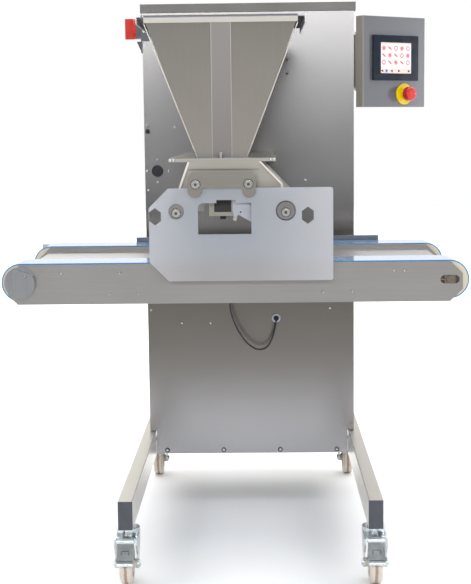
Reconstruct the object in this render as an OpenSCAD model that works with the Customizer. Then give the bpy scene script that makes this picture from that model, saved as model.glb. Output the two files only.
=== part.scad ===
// Cookie depositor: hopper, feed rollers and wire-cut head held out from a stainless cabinet
// over a twin-belt tray conveyor that rises and lowers, on a castored base.
// Millimetres, +Z up, floor at Z = 0, X along the conveyor, front at -Y.

/* [Cabinet] */
// Width of the cabinet
cab_w = 600; // [560:1:680]
// Depth of the cabinet
cab_d = 400; // [340:1:480]
// Height of the cabinet's lower edge above the floor
cab_bottom = 143; // [130:1:150]
// Height of the whole machine
overall_h = 1446; // [1430:1:1520]
// Thickness of the cabinet sheet
sheet_t = 2; // [1.5:0.5:3]
// Height of the cap's skirt
cap_h = 24; // [16:1:36]
// Overhang of the cap past the cabinet
cap_over = 5; // [4:1:12]
// Sideways place of the cabinet's middle from the conveyor's middle
cab_x = 32; // [20:1:40]

/* [Base frame] */
// Width of a leg tube
leg_w = 35; // [32:1:40]
// Height of a leg tube
leg_h = 70; // [60:1:80]
// Wall of a leg tube
leg_wall = 3; // [2:0.5:4]
// Reach of the legs in front of the cabinet
leg_reach = 724; // [700:1:800]
// How far a leg stands out past the cabinet's side
leg_out = 18; // [12:1:20]
// Height of a cross beam between the legs
beam_h = 40; // [30:1:50]
// Depth of a cross beam
beam_d = 40; // [30:1:60]

/* [Castors] */
// Wheel diameter
wheel_d = 100; // [90:1:104]
// Wheel width
wheel_w = 30; // [24:1:34]
// Height from the floor to the leg
castor_h = 140; // [138:1:150]
// Trail from the swivel axis to the axle
castor_trail = 35; // [30:1:38]
// Swivel axis from the end of the leg
castor_inset = 57; // [45:1:70]
// Reach of a brake pedal in front of its swivel axis
pedal_reach = 100; // [98:1:110]

/* [Head] */
// Sideways place of the head's middle from the conveyor's middle
head_x = -26; // [-34:1:-18]
// Width of the head plate
plate_w = 252; // [240:1:300]
// Thickness of the head plate
plate_t = 8; // [6:1:12]
// Height of the head plate's top
plate_top = 1026; // [1015:1:1040]
// Reach of the head plate in front of the cabinet
head_reach = 690; // [670:1:720]
// Length of the roller housing
housing_len = 400; // [360:1:440]
// Thickness of a housing end plate
end_t = 10; // [8:1:14]
// Diameter of a feed roller
roller_d = 60; // [54:1:62]
// Nip between the feed rollers
roller_nip = 4; // [3:1:8]
// Diameter of the roller shafts
shaft_d = 20; // [16:1:22]
// Teeth of a feed gear
gear_teeth = 20; // [16:1:24]
// Number of nozzles in the bar
nozzle_count = 9; // [5:1:11]
// Diameter of a nozzle
nozzle_d = 16; // [10:1:17]
// Diameter of the cutting wire
wire_d = 1.5; // [1:0.1:2]

/* [Guard] */
// Thickness of the guard plate
guard_t = 10; // [6:1:12]
// Space between the housing and the guard plate
guard_gap = 20; // [18:1:30]
// Height of the guard plate
guard_h = 217; // [200:1:230]
// Thickness of the clamp bracket
bracket_t = 6; // [4:1:10]

/* [Hopper] */
// Width of the hopper at its rim
hopper_top_w = 359; // [320:1:380]
// Width of the hopper at its foot
hopper_foot_w = 117; // [110:1:124]
// Height of the hopper
hopper_h = 332; // [280:1:360]
// Depth of the hopper from front to back
hopper_d = 372; // [350:1:378]
// Thickness of the hopper sheet
hopper_t = 2; // [1.5:0.5:3]
// Width of the rim flange
rim_w = 18; // [12:1:26]
// Height of the rim's side lips
rim_lip = 16; // [10:1:24]

/* [Conveyor] */
// Length over the belts
conv_len = 1110; // [1100:1:1180]
// Height of the belt's top
belt_top = 782; // [775:1:800]
// Diameter over the belt at an end roller
end_d = 92; // [86:1:96]
// Belt thickness
belt_t = 3; // [2:0.5:4]
// Belt width
belt_w = 112; // [100:1:125]
// Reach of the conveyor's front in front of the cabinet
conv_reach = 690; // [680:1:700]
// Distance from the front belt's side plate to the rear belt's side plate
belt_pitch = 454; // [430:1:460]
// Thickness of a side plate
side_t = 3; // [2:0.5:4]
// Height of a side plate
side_h = 95; // [90:1:100]
// Spare width on each side of a belt
belt_side_gap = 1; // [0.5:0.5:3]
// Drop from the belt's top to the deck sheet between the belts
deck_drop = 17; // [12:1:24]
// Width of a cross member
cross_w = 100; // [80:1:120]
// Height of the guide bar
bar_h = 14; // [10:1:20]
// Length of the guide bar
bar_len = 678; // [500:1:800]

/* [Lift] */
// Sideways spacing of the lift rails
rail_pitch = 220; // [160:1:260]
// Width of a lift rail
rail_w = 20; // [15:1:25]
// Depth of a lift rail
rail_d = 18; // [14:1:22]
// Travel of the conveyor table
lift_travel = 60; // [40:1:64]
// Diameter of the actuator
actuator_d = 40; // [30:1:44]

/* [Control panel] */
// Panel width
panel_w = 232; // [222:1:242]
// Panel height
panel_h = 255; // [245:1:270]
// Panel depth
panel_d = 36; // [30:1:45]
// Angle that the panel is turned to the right
panel_angle = 35; // [20:1:60]
// Drop from the machine's top to the panel's lower edge
panel_drop = 295; // [285:1:320]
// Width of the display bezel
bezel_w = 167; // [150:1:170]
// Height of the display bezel
bezel_h = 127; // [110:1:130]
// Diameter of the emergency stop's collar
stop_collar_d = 60; // [50:1:64]
// Diameter of the emergency stop's button
stop_d = 40; // [34:1:44]

/* [Isolator] */
// Length of the isolator handle
handle_len = 57; // [50:1:64]
// Depth of the isolator handle
handle_d = 33; // [26:1:40]

/* [Clearances] */
// Radial clearance of a shaft in its bore
run_fit = 0.05; // [0.03:0.01:0.1]
// Gap between faces that slide or turn past each other
slide_gap = 0.3; // [0.2:0.1:0.6]

/* [Hidden] */
$fn = 64;

// Depth places: the middle of the machine, from the brake pedals to the cap's back, is Y = 0
front_ext = leg_reach - castor_inset + pedal_reach;
face_y = (front_ext - cab_d - cap_over) / 2;
back_y = face_y + cab_d;
cab_l = cab_x - cab_w / 2;
cab_r = cab_x + cab_w / 2;
shell_top = overall_h - sheet_t;

// Base
leg_z = castor_h;
leg_top = leg_z + leg_h;
leg_front_y = face_y - leg_reach;
leg_mid = cab_w / 2 + leg_out - leg_w / 2;
leg_inner = leg_mid - leg_w / 2;
beam_z = cab_bottom + 1;
notch_gap = 2;
cap_plug = 12;
cap_face = 3;

// Castors
axle_d = 12;
king_d = 12;
swivel_r = 29;
mount_t = 4;
mount_stub = 9;
crown_top = castor_h - mount_stub - mount_t - slide_gap;
crown_h = 11;
fork_t = 4;
fork_in = wheel_w / 2 + 9;
wheel_hub_w = 2 * fork_in - 1;
king_head_h = 4;
pedal_tip_r = 4;
pedal_tip = [-(pedal_reach - pedal_tip_r), castor_h - 74];
pedal_pivot = [-62, castor_h - 28];
pedal_pin_d = 6;
pedal_t = 4;
pedal_w = 2 * fork_in - 8;

// Head
plate_y = face_y - head_reach;
house_top = plate_top - plate_t;
house_rear = plate_y + housing_len;
roller_r = roller_d / 2;
roller_dx = roller_r + roller_nip / 2;
roller_z = house_top - 43;
bush_d = shaft_d + 8;
mid_bottom = house_top - 86;
lobe_bottom = house_top - 140;
neck_x = [-81, 91];
shoulder_l = [-104, house_top - 64];
shoulder_r = [142, house_top - 53];
lobe_l = [-132, -60];
lobe_r = [72, 172];
lobe_top = mid_bottom + 3;
side_sheet = 5;
chamber_half = 70;
chamber_h = 30;
chamber_slot = 16;
boss_z = house_top - 114;
boss_l = -108;
boss_r = 148;
boss_l_r = 17;
boss_r_r = 20.6;
pivot_z = house_top - 51;
pivot_d = 12;
arm_t = 10;
arm_gap = 6;
arm_front_y = plate_y - arm_gap - arm_t;
arm_rear_y = house_rear + 4;
wire_pos = [29, -82];
gear_y = house_rear + 35;
gear_w = 15;
gear_pitch_r = roller_dx;
gear_module = 2 * gear_pitch_r / gear_teeth;
rail_in = 20;
rail_out = 32;
rail_lip = 22;
die_bottom = house_top - 127;
die_flange_t = 9;
die_stop_t = 5;
bolt_d = 10;
nozzle_bottom = pivot_z - norm(wire_pos) + wire_d / 2 + 1.2;

// Guard
guard_back = plate_y - guard_gap;
guard_front = guard_back - guard_t;
guard_top = house_top - 60.5;
guard_l = -172;
guard_r = 258;
window_x = [-57.5, 67.5];
window_z = [house_top - 168, house_top - 95];
bracket_w = 158;
bracket_leg = 32;
bracket_bolt_x = 61.5;

// Hopper
hopper_y = plate_y + 18;
hopper_top = plate_top + hopper_h;
foot_flange = 6;
throat_w = hopper_foot_w - 2 * hopper_t;

// Conveyor
conv_y = face_y - conv_reach;
axis_x = conv_len / 2 - end_d / 2;
axis_z = belt_top - end_d / 2;
drum_r = end_d / 2 - belt_t - slide_gap;
module_w = belt_w + 2 * belt_side_gap + 2 * side_t;
rear_y0 = conv_y + belt_pitch;
conv_back = rear_y0 + module_w;
side_top = belt_top - belt_t;
side_z = side_top - side_h;
side_half = conv_len / 2 - 16;
side_chamfer = 29;
drive_chamfer = 22;
bed_t = 3;
slot_len = 45;
slot_h = 20;
idler_d = 16;
cross_in = [245, 265];
cross_x = [-axis_x + cross_in[0], axis_x - cross_in[1]];
cross_h = 26;
cross_z = belt_top - end_d + belt_t + 3;
drive_cover_r = 38;
bar_x = 53;
motor_s = 80;

// Lift
rail_z = [596, 785];
carriage_z = [616, 760];
carriage_t = 6;
carriage_y = face_y - 62;
block_z = [620, 680];
block_w = 50;
rod_d = 16;
actuator_y = face_y - 28;
actuator_z = [606, 690];

// Control panel
panel_z = overall_h - panel_drop;
hinge_x = cab_r + 6;
hinge_y = face_y + 6;
hinge_pin_d = 5;
hinge_r = 5;
hinge_rise = 49;
hinge_len = 160;
hinge_z = [panel_z + hinge_rise, panel_z + hinge_rise + hinge_len];
ear_t = 6;
panel_x0 = -4;
panel_wall = 2;
bezel_x = 30;
bezel_t = 8;
bezel_z = panel_h - 53 - bezel_h;
stop_x = 149;
stop_drop = 218;
stop_pos = [stop_x, panel_h - stop_drop];
stop_stem_d = 16;
stop_neck_d = 28;
stop_neck_h = 8;
stop_plate_t = 3;
stop_rise = 15;

// Isolator
iso_y = face_y + 34;
iso_z = overall_h - 66;
iso_plate_t = 4;
iso_box_d = 14;

// Cable from under the lift carriage to the grommet in the cabinet's face
cable_d = 5;
grommet = [106, 545];
grommet_len = 14;
gland_x = -26;
gland_h = 16;
cable_route = [
  [-26, -59, 600], [-26, -59, 580], [-20, -59, 556], [-10, -59, 530], [4, -58, 505], [20, -56, 483],
  [40, -53, 467], [60, -48, 461], [78, -44, 468], [90, -40, 485], [97, -38, 503], [102, -34, 522],
  [105, -28, 536], [106, -20, 543], [106, -14, 545]
];

// Box between pairs of limits
module block(x, y, z) {
  translate([x[0], y[0], z[0]]) cube([x[1] - x[0], y[1] - y[0], z[1] - z[0]]);
}

// Round bars along each axis
module rod_x(y, z, x, d) {
  translate([x[0], y, z]) rotate([0, 90, 0]) cylinder(h = x[1] - x[0], d = d);
}
module rod_y(x, z, y, d) {
  translate([x, y[1], z]) rotate([90, 0, 0]) cylinder(h = y[1] - y[0], d = d);
}
module rod_z(x, y, z, d) {
  translate([x, y, z[0]]) cylinder(h = z[1] - z[0], d = d);
}

// Outline drawn in X and Z, given its thickness along Y
module slab_y(y) {
  translate([0, y[1], 0]) rotate([90, 0, 0]) linear_extrude(y[1] - y[0]) children();
}

// Outline drawn in Y and Z, given its thickness along X
module slab_x(x) {
  translate([x[0], 0, 0]) rotate([90, 0, 90]) linear_extrude(x[1] - x[0]) children();
}

// Dome head screw that faces the front, with a short shank behind its seat
module dome_screw(x, z, y, d, h, shank_d, shank) {
  ball = (d * d / 4 + h * h) / (2 * h);
  translate([x, y, z]) rotate([90, 0, 0]) {
    intersection() {
      translate([0, 0, h - ball]) sphere(ball);
      translate([-d, -d, 0]) cube([2 * d, 2 * d, h]);
    }
    translate([0, 0, -shank]) cylinder(h = shank + h / 2, d = shank_d);
  }
}

// Hexagon bolt that faces the front, with a washer
module hex_bolt(x, z, y, d, shank) {
  translate([x, y, z]) rotate([90, 0, 0]) {
    cylinder(h = 1.6, d = 2 * d);
    cylinder(h = 1.6 + 0.65 * d, d = 1.7 * d, $fn = 6);
    translate([0, 0, -shank]) cylinder(h = shank + 1, d = d);
  }
}

// Places on the cabinet's face, from its middle
screw_d = 5;
half_w = cab_w / 2;
foot_screws = [for (f = [-5, -5 / 3, 5 / 3, 5]) [f * cab_w / 12, cab_bottom + 10.5]];
plug_pos = [-half_w + 36, 976];
plug_bolt_r = 32;
face_screws = [
  [-half_w + 10, 572], [half_w - 70, 573], [-half_w + 99, 533], [-half_w + 183, 532],
  [half_w - 140, 945], [-half_w + 9, 921],
  [plug_pos[0], plug_pos[1] + plug_bolt_r], [plug_pos[0], plug_pos[1] - plug_bolt_r],
  [plug_pos[0] + plug_bolt_r, plug_pos[1]], [plug_pos[0] - 30, plug_pos[1]]
];
stud_pos = [
  [-half_w + 9, 1107], [-half_w + 89, 1100], [half_w - 190, overall_h - 161],
  [half_w - 190, overall_h - 199]
];
stud_d = 6;
stud_len = 26;
plug_d = 33;
small_plug = [-half_w + 10, 1089];
small_plug_d = 13;
grommet_hole_d = 18;
feed_shaft_x = head_x - roller_dx;

module cabinet_shell() {
  color("#b9b9ba") difference() {
    block([cab_l, cab_r], [face_y, back_y], [cab_bottom, shell_top]);
    block([cab_l + sheet_t, cab_r - sheet_t], [face_y + sheet_t, back_y + 1],
      [cab_bottom - 1, shell_top + 1]);
    for (s = [-1, 1])
      block([cab_x + s * leg_mid - leg_w / 2 - notch_gap, cab_x + s * leg_mid + leg_w / 2 + notch_gap],
        [face_y - 1, back_y + 1], [cab_bottom - 1, leg_top + notch_gap]);
    for (p = concat(foot_screws, face_screws))
      rod_y(cab_x + p[0], p[1], [face_y - 1, face_y + sheet_t + 1], screw_d + 2 * run_fit);
    for (p = stud_pos)
      rod_y(cab_x + p[0], p[1], [face_y - 1, face_y + sheet_t + 1], stud_d + 2 * run_fit);
    rod_y(cab_x + plug_pos[0], plug_pos[1], [face_y - 1, face_y + sheet_t + 1], plug_d - 5);
    rod_y(cab_x + small_plug[0], small_plug[1], [face_y - 1, face_y + sheet_t + 1], small_plug_d - 4);
    rod_y(grommet[0], grommet[1], [face_y - 1, face_y + sheet_t + 1], grommet_hole_d);
    rod_y(feed_shaft_x, roller_z, [face_y - 1, face_y + sheet_t + 1], shaft_d + 6);
  }
}

module top_cap() {
  x = [cab_l - cap_over, cab_r + cap_over];
  y = [face_y - cap_over, back_y + cap_over];
  color("#676764") difference() {
    block(x, y, [overall_h - cap_h, overall_h]);
    block([x[0] + sheet_t, x[1] - sheet_t], [y[0] + sheet_t, y[1] - sheet_t],
      [overall_h - cap_h - 1, shell_top]);
  }
}

module rear_cover() {
  x = [cab_l + sheet_t + slide_gap, cab_r - sheet_t - slide_gap];
  z = [leg_top + notch_gap, shell_top];
  flange = 20;
  color("#a9a9aa") difference() {
    block(x, [back_y - flange, back_y], z);
    block([x[0] + sheet_t, x[1] - sheet_t], [back_y - flange - 1, back_y - sheet_t], [z[0] - 1, z[1] + 1]);
    for (i = [0 : 7])
      block([cab_x - 90, cab_x + 90], [back_y - sheet_t - 1, back_y + 1], [420 + 24 * i, 428 + 24 * i]);
  }
}

module base_frame() {
  color("#c9c6c0") difference() {
    union() {
      for (s = [-1, 1])
        block([cab_x + s * leg_mid - leg_w / 2, cab_x + s * leg_mid + leg_w / 2],
          [leg_front_y, back_y], [leg_z, leg_top]);
      for (y = [face_y + sheet_t, back_y - 60 - beam_d])
        block([cab_x - leg_inner - 1, cab_x + leg_inner + 1], [y, y + beam_d], [beam_z, beam_z + beam_h]);
    }
    for (s = [-1, 1])
      block([cab_x + s * leg_mid - leg_w / 2 + leg_wall, cab_x + s * leg_mid + leg_w / 2 - leg_wall],
        [leg_front_y - 1, back_y + 1], [leg_z + leg_wall, leg_top - leg_wall]);
    for (p = foot_screws)
      rod_y(cab_x + p[0], p[1], [face_y, face_y + 12], screw_d + 2 * run_fit);
  }
}

module leg_caps() {
  fit = leg_wall + slide_gap / 3;
  color("#55565f") for (s = [-1, 1]) {
    x = cab_x + s * leg_mid;
    for (e = [[leg_front_y - cap_face, leg_front_y, leg_front_y + cap_plug],
              [back_y + cap_face, back_y, back_y - cap_plug]]) {
      block([x - leg_w / 2, x + leg_w / 2], [min(e[0], e[1]), max(e[0], e[1])], [leg_z, leg_top]);
      block([x - leg_w / 2 + fit, x + leg_w / 2 - fit], [min(e[1], e[2]), max(e[1], e[2])],
        [leg_z + fit, leg_top - fit]);
    }
  }
}

// Swivel axes of the castors: left or right side, front or rear
swivel_front_y = leg_front_y + castor_inset;
swivel_rear_y = back_y - castor_inset;
function swivel_at(side, y) = [cab_x + side * leg_mid, y, 0];

module castor_mounts() {
  color("#8fa0a4") for (s = [-1, 1], y = [swivel_front_y, swivel_rear_y]) translate(swivel_at(s, y)) {
    rod_z(0, 0, [castor_h - mount_stub - 1, castor_h], leg_w - 4);
    rod_z(0, 0, [castor_h - mount_stub - mount_t, castor_h - mount_stub], 2 * swivel_r);
    rod_z(0, 0, [crown_top - crown_h - king_head_h, castor_h - mount_stub - 1], king_d);
    rod_z(0, 0, [crown_top - crown_h - slide_gap - king_head_h, crown_top - crown_h - slide_gap], king_d + 8);
  }
}

module castor_fork(side, y, with_pedal) {
  leg_top_z = crown_top - crown_h + 3;
  axle_z = wheel_d / 2;
  color("#8fa0a4") translate(swivel_at(side, y)) {
    difference() {
      union() {
        rod_z(0, 0, [crown_top - crown_h, crown_top], 2 * swivel_r - 2);
        for (s = [-1, 1]) {
          x = [s * (fork_in + fork_t / 2) - fork_t / 2, s * (fork_in + fork_t / 2) + fork_t / 2];
          slab_x(x) polygon([
            [18, leg_top_z], [-26, leg_top_z], [-castor_trail - 12, axle_z + 6], [-castor_trail - 12, axle_z],
            [-castor_trail + 12, axle_z], [14, leg_top_z - 24]
          ]);
          rod_x(-castor_trail, axle_z, x, 24);
          if (with_pedal)
            slab_x(x) polygon([
              [-10, leg_top_z], [pedal_pivot[0] - 7, leg_top_z], [pedal_pivot[0] - 7, pedal_pivot[1] - 7],
              [-castor_trail - 12, axle_z + 28], [-castor_trail - 8, axle_z + 10]
            ]);
        }
        block([-fork_in - fork_t, fork_in + fork_t], [with_pedal ? pedal_pivot[0] + 8 : -26, 18],
          [leg_top_z - 3, leg_top_z]);
      }
      rod_z(0, 0, [crown_top - crown_h - 1, crown_top + 1], king_d + 2 * run_fit);
    }
    rod_x(-castor_trail, axle_z, [-fork_in - fork_t - 3, fork_in + fork_t + 3], axle_d);
    if (with_pedal)
      rod_x(pedal_pivot[0], pedal_pivot[1], [-fork_in - fork_t, fork_in + fork_t], pedal_pin_d);
  }
}

module castor_wheel(side, y) {
  r = wheel_d / 2;
  round_r = 7;
  color("#e6ddd3") translate(swivel_at(side, y) + [0, -castor_trail, r]) rotate([0, 90, 0])
    rotate_extrude() difference() {
      union() {
        translate([axle_d / 2 + run_fit, -wheel_hub_w / 2]) square([5, wheel_hub_w]);
        translate([axle_d / 2 + run_fit, -wheel_w / 2 - 2]) square([14, wheel_w + 4]);
        translate([axle_d / 2 + run_fit, -wheel_w / 2 + 4]) square([r - 10 - axle_d / 2, wheel_w - 8]);
        translate([r - 16, -wheel_w / 2]) square([16 - round_r, wheel_w]);
        translate([r - 16, -wheel_w / 2 + round_r]) square([16, wheel_w - 2 * round_r]);
        for (s = [-1, 1])
          translate([r - round_r, s * (wheel_w / 2 - round_r)]) circle(round_r);
      }
      translate([-r, -wheel_w]) square([r + axle_d / 2 + run_fit, 2 * wheel_w]);
    }
}

module brake_pedal(side) {
  x = [-pedal_w / 2, pedal_w / 2];
  slope = pedal_tip - pedal_pivot;
  across = [-slope[1], slope[0]] / norm(slope) * pedal_t / 2;
  color("#8fa0a4") translate(swivel_at(side, swivel_front_y)) difference() {
    union() {
      rod_x(pedal_pivot[0], pedal_pivot[1], x, 2 * pedal_tip_r + pedal_pin_d / 2);
      rod_x(pedal_tip[0], pedal_tip[1], x, 2 * pedal_tip_r);
      slab_x(x) polygon([
        pedal_pivot - across, pedal_pivot + across, pedal_tip + across, pedal_tip - across
      ]);
    }
    rod_x(pedal_pivot[0], pedal_pivot[1], [x[0] - 1, x[1] + 1], pedal_pin_d + 2 * run_fit);
  }
}

module head_plate() {
  rib_t = 6;
  rib_h = 78;
  color("#a8a6a0") difference() {
    union() {
      block([head_x - plate_w / 2, head_x + plate_w / 2], [plate_y, face_y], [house_top, plate_top]);
      for (x = [head_x - 76, head_x + 72])
        block([x, x + rib_t], [house_rear, face_y], [house_top - rib_h, house_top + 1]);
    }
    block([head_x - throat_w / 2, head_x + throat_w / 2],
      [hopper_y + hopper_t, hopper_y + hopper_d - hopper_t], [house_top - 1, plate_top + 1]);
  }
}

// End plate outline: sloped shoulders, two lobes that carry the guard bosses
module end_outline() {
  translate([head_x, 0]) polygon([
    [neck_x[0], house_top], [neck_x[1], house_top], shoulder_r, [lobe_r[1], lobe_top],
    [lobe_r[1], lobe_bottom], [lobe_r[0], lobe_bottom], [lobe_r[0], mid_bottom], [lobe_l[1], mid_bottom],
    [lobe_l[1], lobe_bottom], [lobe_l[0], lobe_bottom], [lobe_l[0], lobe_top], shoulder_l
  ]);
}

module head_housing() {
  side_y = [plate_y - 8, house_rear];
  chamber_y = [plate_y + end_t - 1, house_rear - end_t + 1];
  color("#9c9a92") difference() {
    union() {
      slab_y([plate_y, plate_y + end_t]) end_outline();
      slab_y([house_rear - end_t, house_rear]) end_outline();
      slab_y(side_y) translate([head_x, 0]) polygon([
        [neck_x[0], house_top], shoulder_l, shoulder_l + [side_sheet, 0], [neck_x[0] + side_sheet, house_top]
      ]);
      slab_y(side_y) translate([head_x, 0]) polygon([
        [neck_x[1], house_top], shoulder_r, [shoulder_r[0], mid_bottom],
        [shoulder_r[0] - side_sheet, mid_bottom], shoulder_r + [-side_sheet, -1],
        [neck_x[1] - side_sheet, house_top]
      ]);
      block([head_x + neck_x[0] + 1, head_x + neck_x[1] - 1], [plate_y - 6, plate_y + 1],
        [house_top - 17, house_top]);
      slab_y(chamber_y) difference() {
        translate([head_x - chamber_half, mid_bottom]) square([2 * chamber_half, chamber_h]);
        for (s = [-1, 1])
          translate([head_x + s * roller_dx, roller_z]) circle(d = roller_d + 1);
        translate([head_x - chamber_slot / 2, mid_bottom - 1]) square([chamber_slot, chamber_h + 2]);
      }
    }
    for (s = [-1, 1], y = [plate_y, house_rear - end_t])
      rod_y(head_x + s * roller_dx, roller_z, [y - 1, y + end_t + 1], bush_d + run_fit);
  }
}

module roller_bushes() {
  color("#b08d57") for (s = [-1, 1], y = [plate_y, house_rear - end_t])
    difference() {
      rod_y(head_x + s * roller_dx, roller_z, [y, y + end_t], bush_d);
      rod_y(head_x + s * roller_dx, roller_z, [y - 1, y + end_t + 1], shaft_d + 2 * run_fit);
    }
}

// Channel that the nozzle bar slides into from the rear, closed by a stop in front
module die_holder() {
  flange_top = die_bottom + die_flange_t;
  color("#c2c0ba") {
    for (s = [-1, 1])
      slab_y([plate_y, house_rear]) translate([head_x, 0]) polygon([
        [s * rail_out, mid_bottom], [s * rail_out, die_bottom], [s * (rail_out - rail_lip), die_bottom],
        [s * (rail_out - rail_lip), flange_top], [s * rail_in, flange_top], [s * rail_in, mid_bottom]
      ]);
    block([head_x - rail_in - 1, head_x + rail_in + 1], [plate_y, plate_y + die_stop_t],
      [die_bottom, flange_top]);
  }
}

module nozzle_bar() {
  y = [plate_y + die_stop_t + slide_gap, house_rear - 2];
  step = (y[1] - y[0]) / nozzle_count;
  bar_z = [die_bottom + die_flange_t, mid_bottom - slide_gap];
  color("#3c3d40") difference() {
    union() {
      block([head_x - rail_in + slide_gap, head_x + rail_in - slide_gap], y, bar_z);
      for (i = [0 : nozzle_count - 1])
        rod_z(head_x, y[0] + (i + 0.5) * step, [nozzle_bottom, bar_z[0] + 1], nozzle_d);
    }
    for (i = [0 : nozzle_count - 1])
      rod_z(head_x, y[0] + (i + 0.5) * step, [nozzle_bottom - 1, bar_z[1] + 1], nozzle_d - 5);
    for (i = [0 : 3])
      block([head_x - 12 + 7 * i, head_x - 9 + 7 * i], [y[0] - 1, y[0] + 3], [bar_z[0] + 8, bar_z[1] - 6]);
  }
}

module hex_hole(x, z) {
  translate([x, z]) polygon([[-14, -10], [0, -20.5], [14, -10], [14, 10], [0, 20.5], [-14, 10]]);
}

// Cut that rounds a square corner of an outline; the signs say which corner it is
module round_off(x, z, r, sx, sz) {
  difference() {
    translate([x - (sx > 0 ? r : 1), z - (sz > 0 ? r : 1)]) square(r + 1);
    translate([x - sx * r, z - sz * r]) circle(r);
  }
}

module guard_plate() {
  cut = 45;
  corner = 5;
  hex_z = house_top - 125.5;
  color("#c3c6cc") slab_y([guard_front, guard_back]) difference() {
    translate([head_x, 0]) polygon([
      [guard_l + cut, guard_top], [guard_r, guard_top], [guard_r, guard_top - guard_h],
      [guard_l + cut, guard_top - guard_h], [guard_l, guard_top - guard_h + cut], [guard_l, guard_top - cut]
    ]);
    translate([head_x, 0]) difference() {
      translate([window_x[0], window_z[0]]) square([window_x[1] - window_x[0], window_z[1] - window_z[0]]);
      translate([window_x[0], window_z[1] - 12]) difference() {
        square([12, 12]);
        translate([12, 0]) circle(12);
      }
    }
    translate([head_x - 14, window_z[1] - 1]) square([45, 8]);
    hex_hole(head_x - 157.5, hex_z);
    hex_hole(head_x + 199, hex_z);
    translate([head_x + boss_l, boss_z]) circle(boss_l_r + 1);
    translate([head_x + boss_r, boss_z]) circle(boss_r_r + 3);
    round_off(head_x + guard_r, guard_top, corner, 1, 1);
    round_off(head_x + guard_r, guard_top - guard_h, corner, 1, -1);
  }
}

// Inverted U plate that holds the top of the guard
module clamp_bracket() {
  half = bracket_w / 2;
  top = house_top - 22;
  corner = 14;
  leg_end = house_top - 82;
  arch = guard_top;
  color("#a19d94") slab_y([guard_front - bracket_t, guard_front]) difference() {
    translate([head_x, 0]) union() {
      translate([-half + corner, arch]) square([bracket_w - 2 * corner, top - arch]);
      translate([-half, arch]) square([bracket_w, top - corner - arch]);
      for (s = [-1, 1]) {
        translate([s * (half - corner), top - corner]) circle(corner);
        translate([s * (half - bracket_leg / 2), leg_end + bracket_leg / 2]) circle(d = bracket_leg);
        translate([s * (half - bracket_leg / 2) - bracket_leg / 2, leg_end + bracket_leg / 2])
          square([bracket_leg, arch - leg_end - bracket_leg / 2 + 1]);
      }
    }
    for (s = [-1, 1])
      translate([head_x + s * bracket_bolt_x, pivot_z]) circle(d = bolt_d + 2 * run_fit);
  }
}

module head_bolts() {
  pad_z = house_top - 74;
  color("#c9c7c2") {
    // spacers and bolts of the clamp bracket, and the pads behind the guard
    for (s = [-1, 1]) {
      x = head_x + s * bracket_bolt_x;
      rod_y(x, pivot_z, [guard_front, plate_y], 14);
      rod_y(x, pad_z, [guard_back, plate_y], 14);
      hex_bolt(x, pivot_z, guard_front - bracket_t, bolt_d, bracket_t + 1);
    }
    // round bosses in the guard's holes
    for (b = [[boss_l, boss_l_r], [boss_r, boss_r_r]]) {
      rod_y(head_x + b[0], boss_z, [guard_front + 3, plate_y], 2 * b[1]);
      hex_bolt(head_x + b[0], boss_z - 4, guard_front + 3, bolt_d, 6);
    }
    // pivots of the cutter arms
    rod_y(head_x, pivot_z, [guard_front, plate_y], pivot_d);
    rod_y(head_x, pivot_z, [house_rear, arm_rear_y + arm_t + 4], pivot_d);
    rod_y(head_x, pivot_z, [arm_rear_y + arm_t + slide_gap, arm_rear_y + arm_t + 4], pivot_d + 8);
    // screws in the front edge of the head plate, and the hopper's stud
    for (x = [-plate_w / 2 + 5, -plate_w / 2 + 13, plate_w / 2 - 13, plate_w / 2 - 5])
      dome_screw(head_x + x, plate_top - plate_t / 2, plate_y, 7, 4, 4, 0);
    rod_z(head_x - 3, plate_y + 6, [plate_top, plate_top + 14], 6);
    translate([head_x - 3, plate_y + 6, plate_top]) cylinder(h = 7, d = 11, $fn = 6);
  }
}

module feed_roller(side) {
  x = head_x + side * roller_dx;
  flutes = 12;
  y = [plate_y + end_t + slide_gap, house_rear - end_t - slide_gap];
  shaft_end = side < 0 ? face_y + 60 : gear_y + gear_w + 3;
  color("#d8d6d0") difference() {
    union() {
      rod_y(x, roller_z, y, roller_d);
      rod_y(x, roller_z, [plate_y - 2, shaft_end], shaft_d);
    }
    for (i = [0 : flutes - 1])
      translate([x, 0, roller_z]) rotate([0, (i + 0.5) * 360 / flutes, 0])
        rod_y(roller_r + 1, 0, [y[0] - 1, y[1] + 1], 7);
  }
}

// Spur gear keyed on a roller shaft; the phase sets its teeth into the other gear's gaps
module feed_gear(side, phase) {
  x = head_x + side * roller_dx;
  root_r = gear_pitch_r - 1.2 * gear_module;
  tip_r = gear_pitch_r + 0.8 * gear_module;
  pitch = 2 * PI * gear_pitch_r / gear_teeth;
  base_half = 0.30 * pitch;
  tip_half = 0.12 * pitch;
  color("#8c8a84") difference() {
    union() {
      rod_y(x, roller_z, [gear_y, gear_y + gear_w], 2 * root_r);
      for (i = [0 : gear_teeth - 1])
        translate([x, 0, roller_z]) rotate([0, (i + phase) * 360 / gear_teeth, 0])
          slab_y([gear_y, gear_y + gear_w]) polygon([
            [root_r - 1, -base_half], [tip_r, -tip_half], [tip_r, tip_half], [root_r - 1, base_half]
          ]);
    }
    rod_y(x, roller_z, [gear_y - 1, gear_y + gear_w + 1], shaft_d + run_fit);
  }
}

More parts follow.
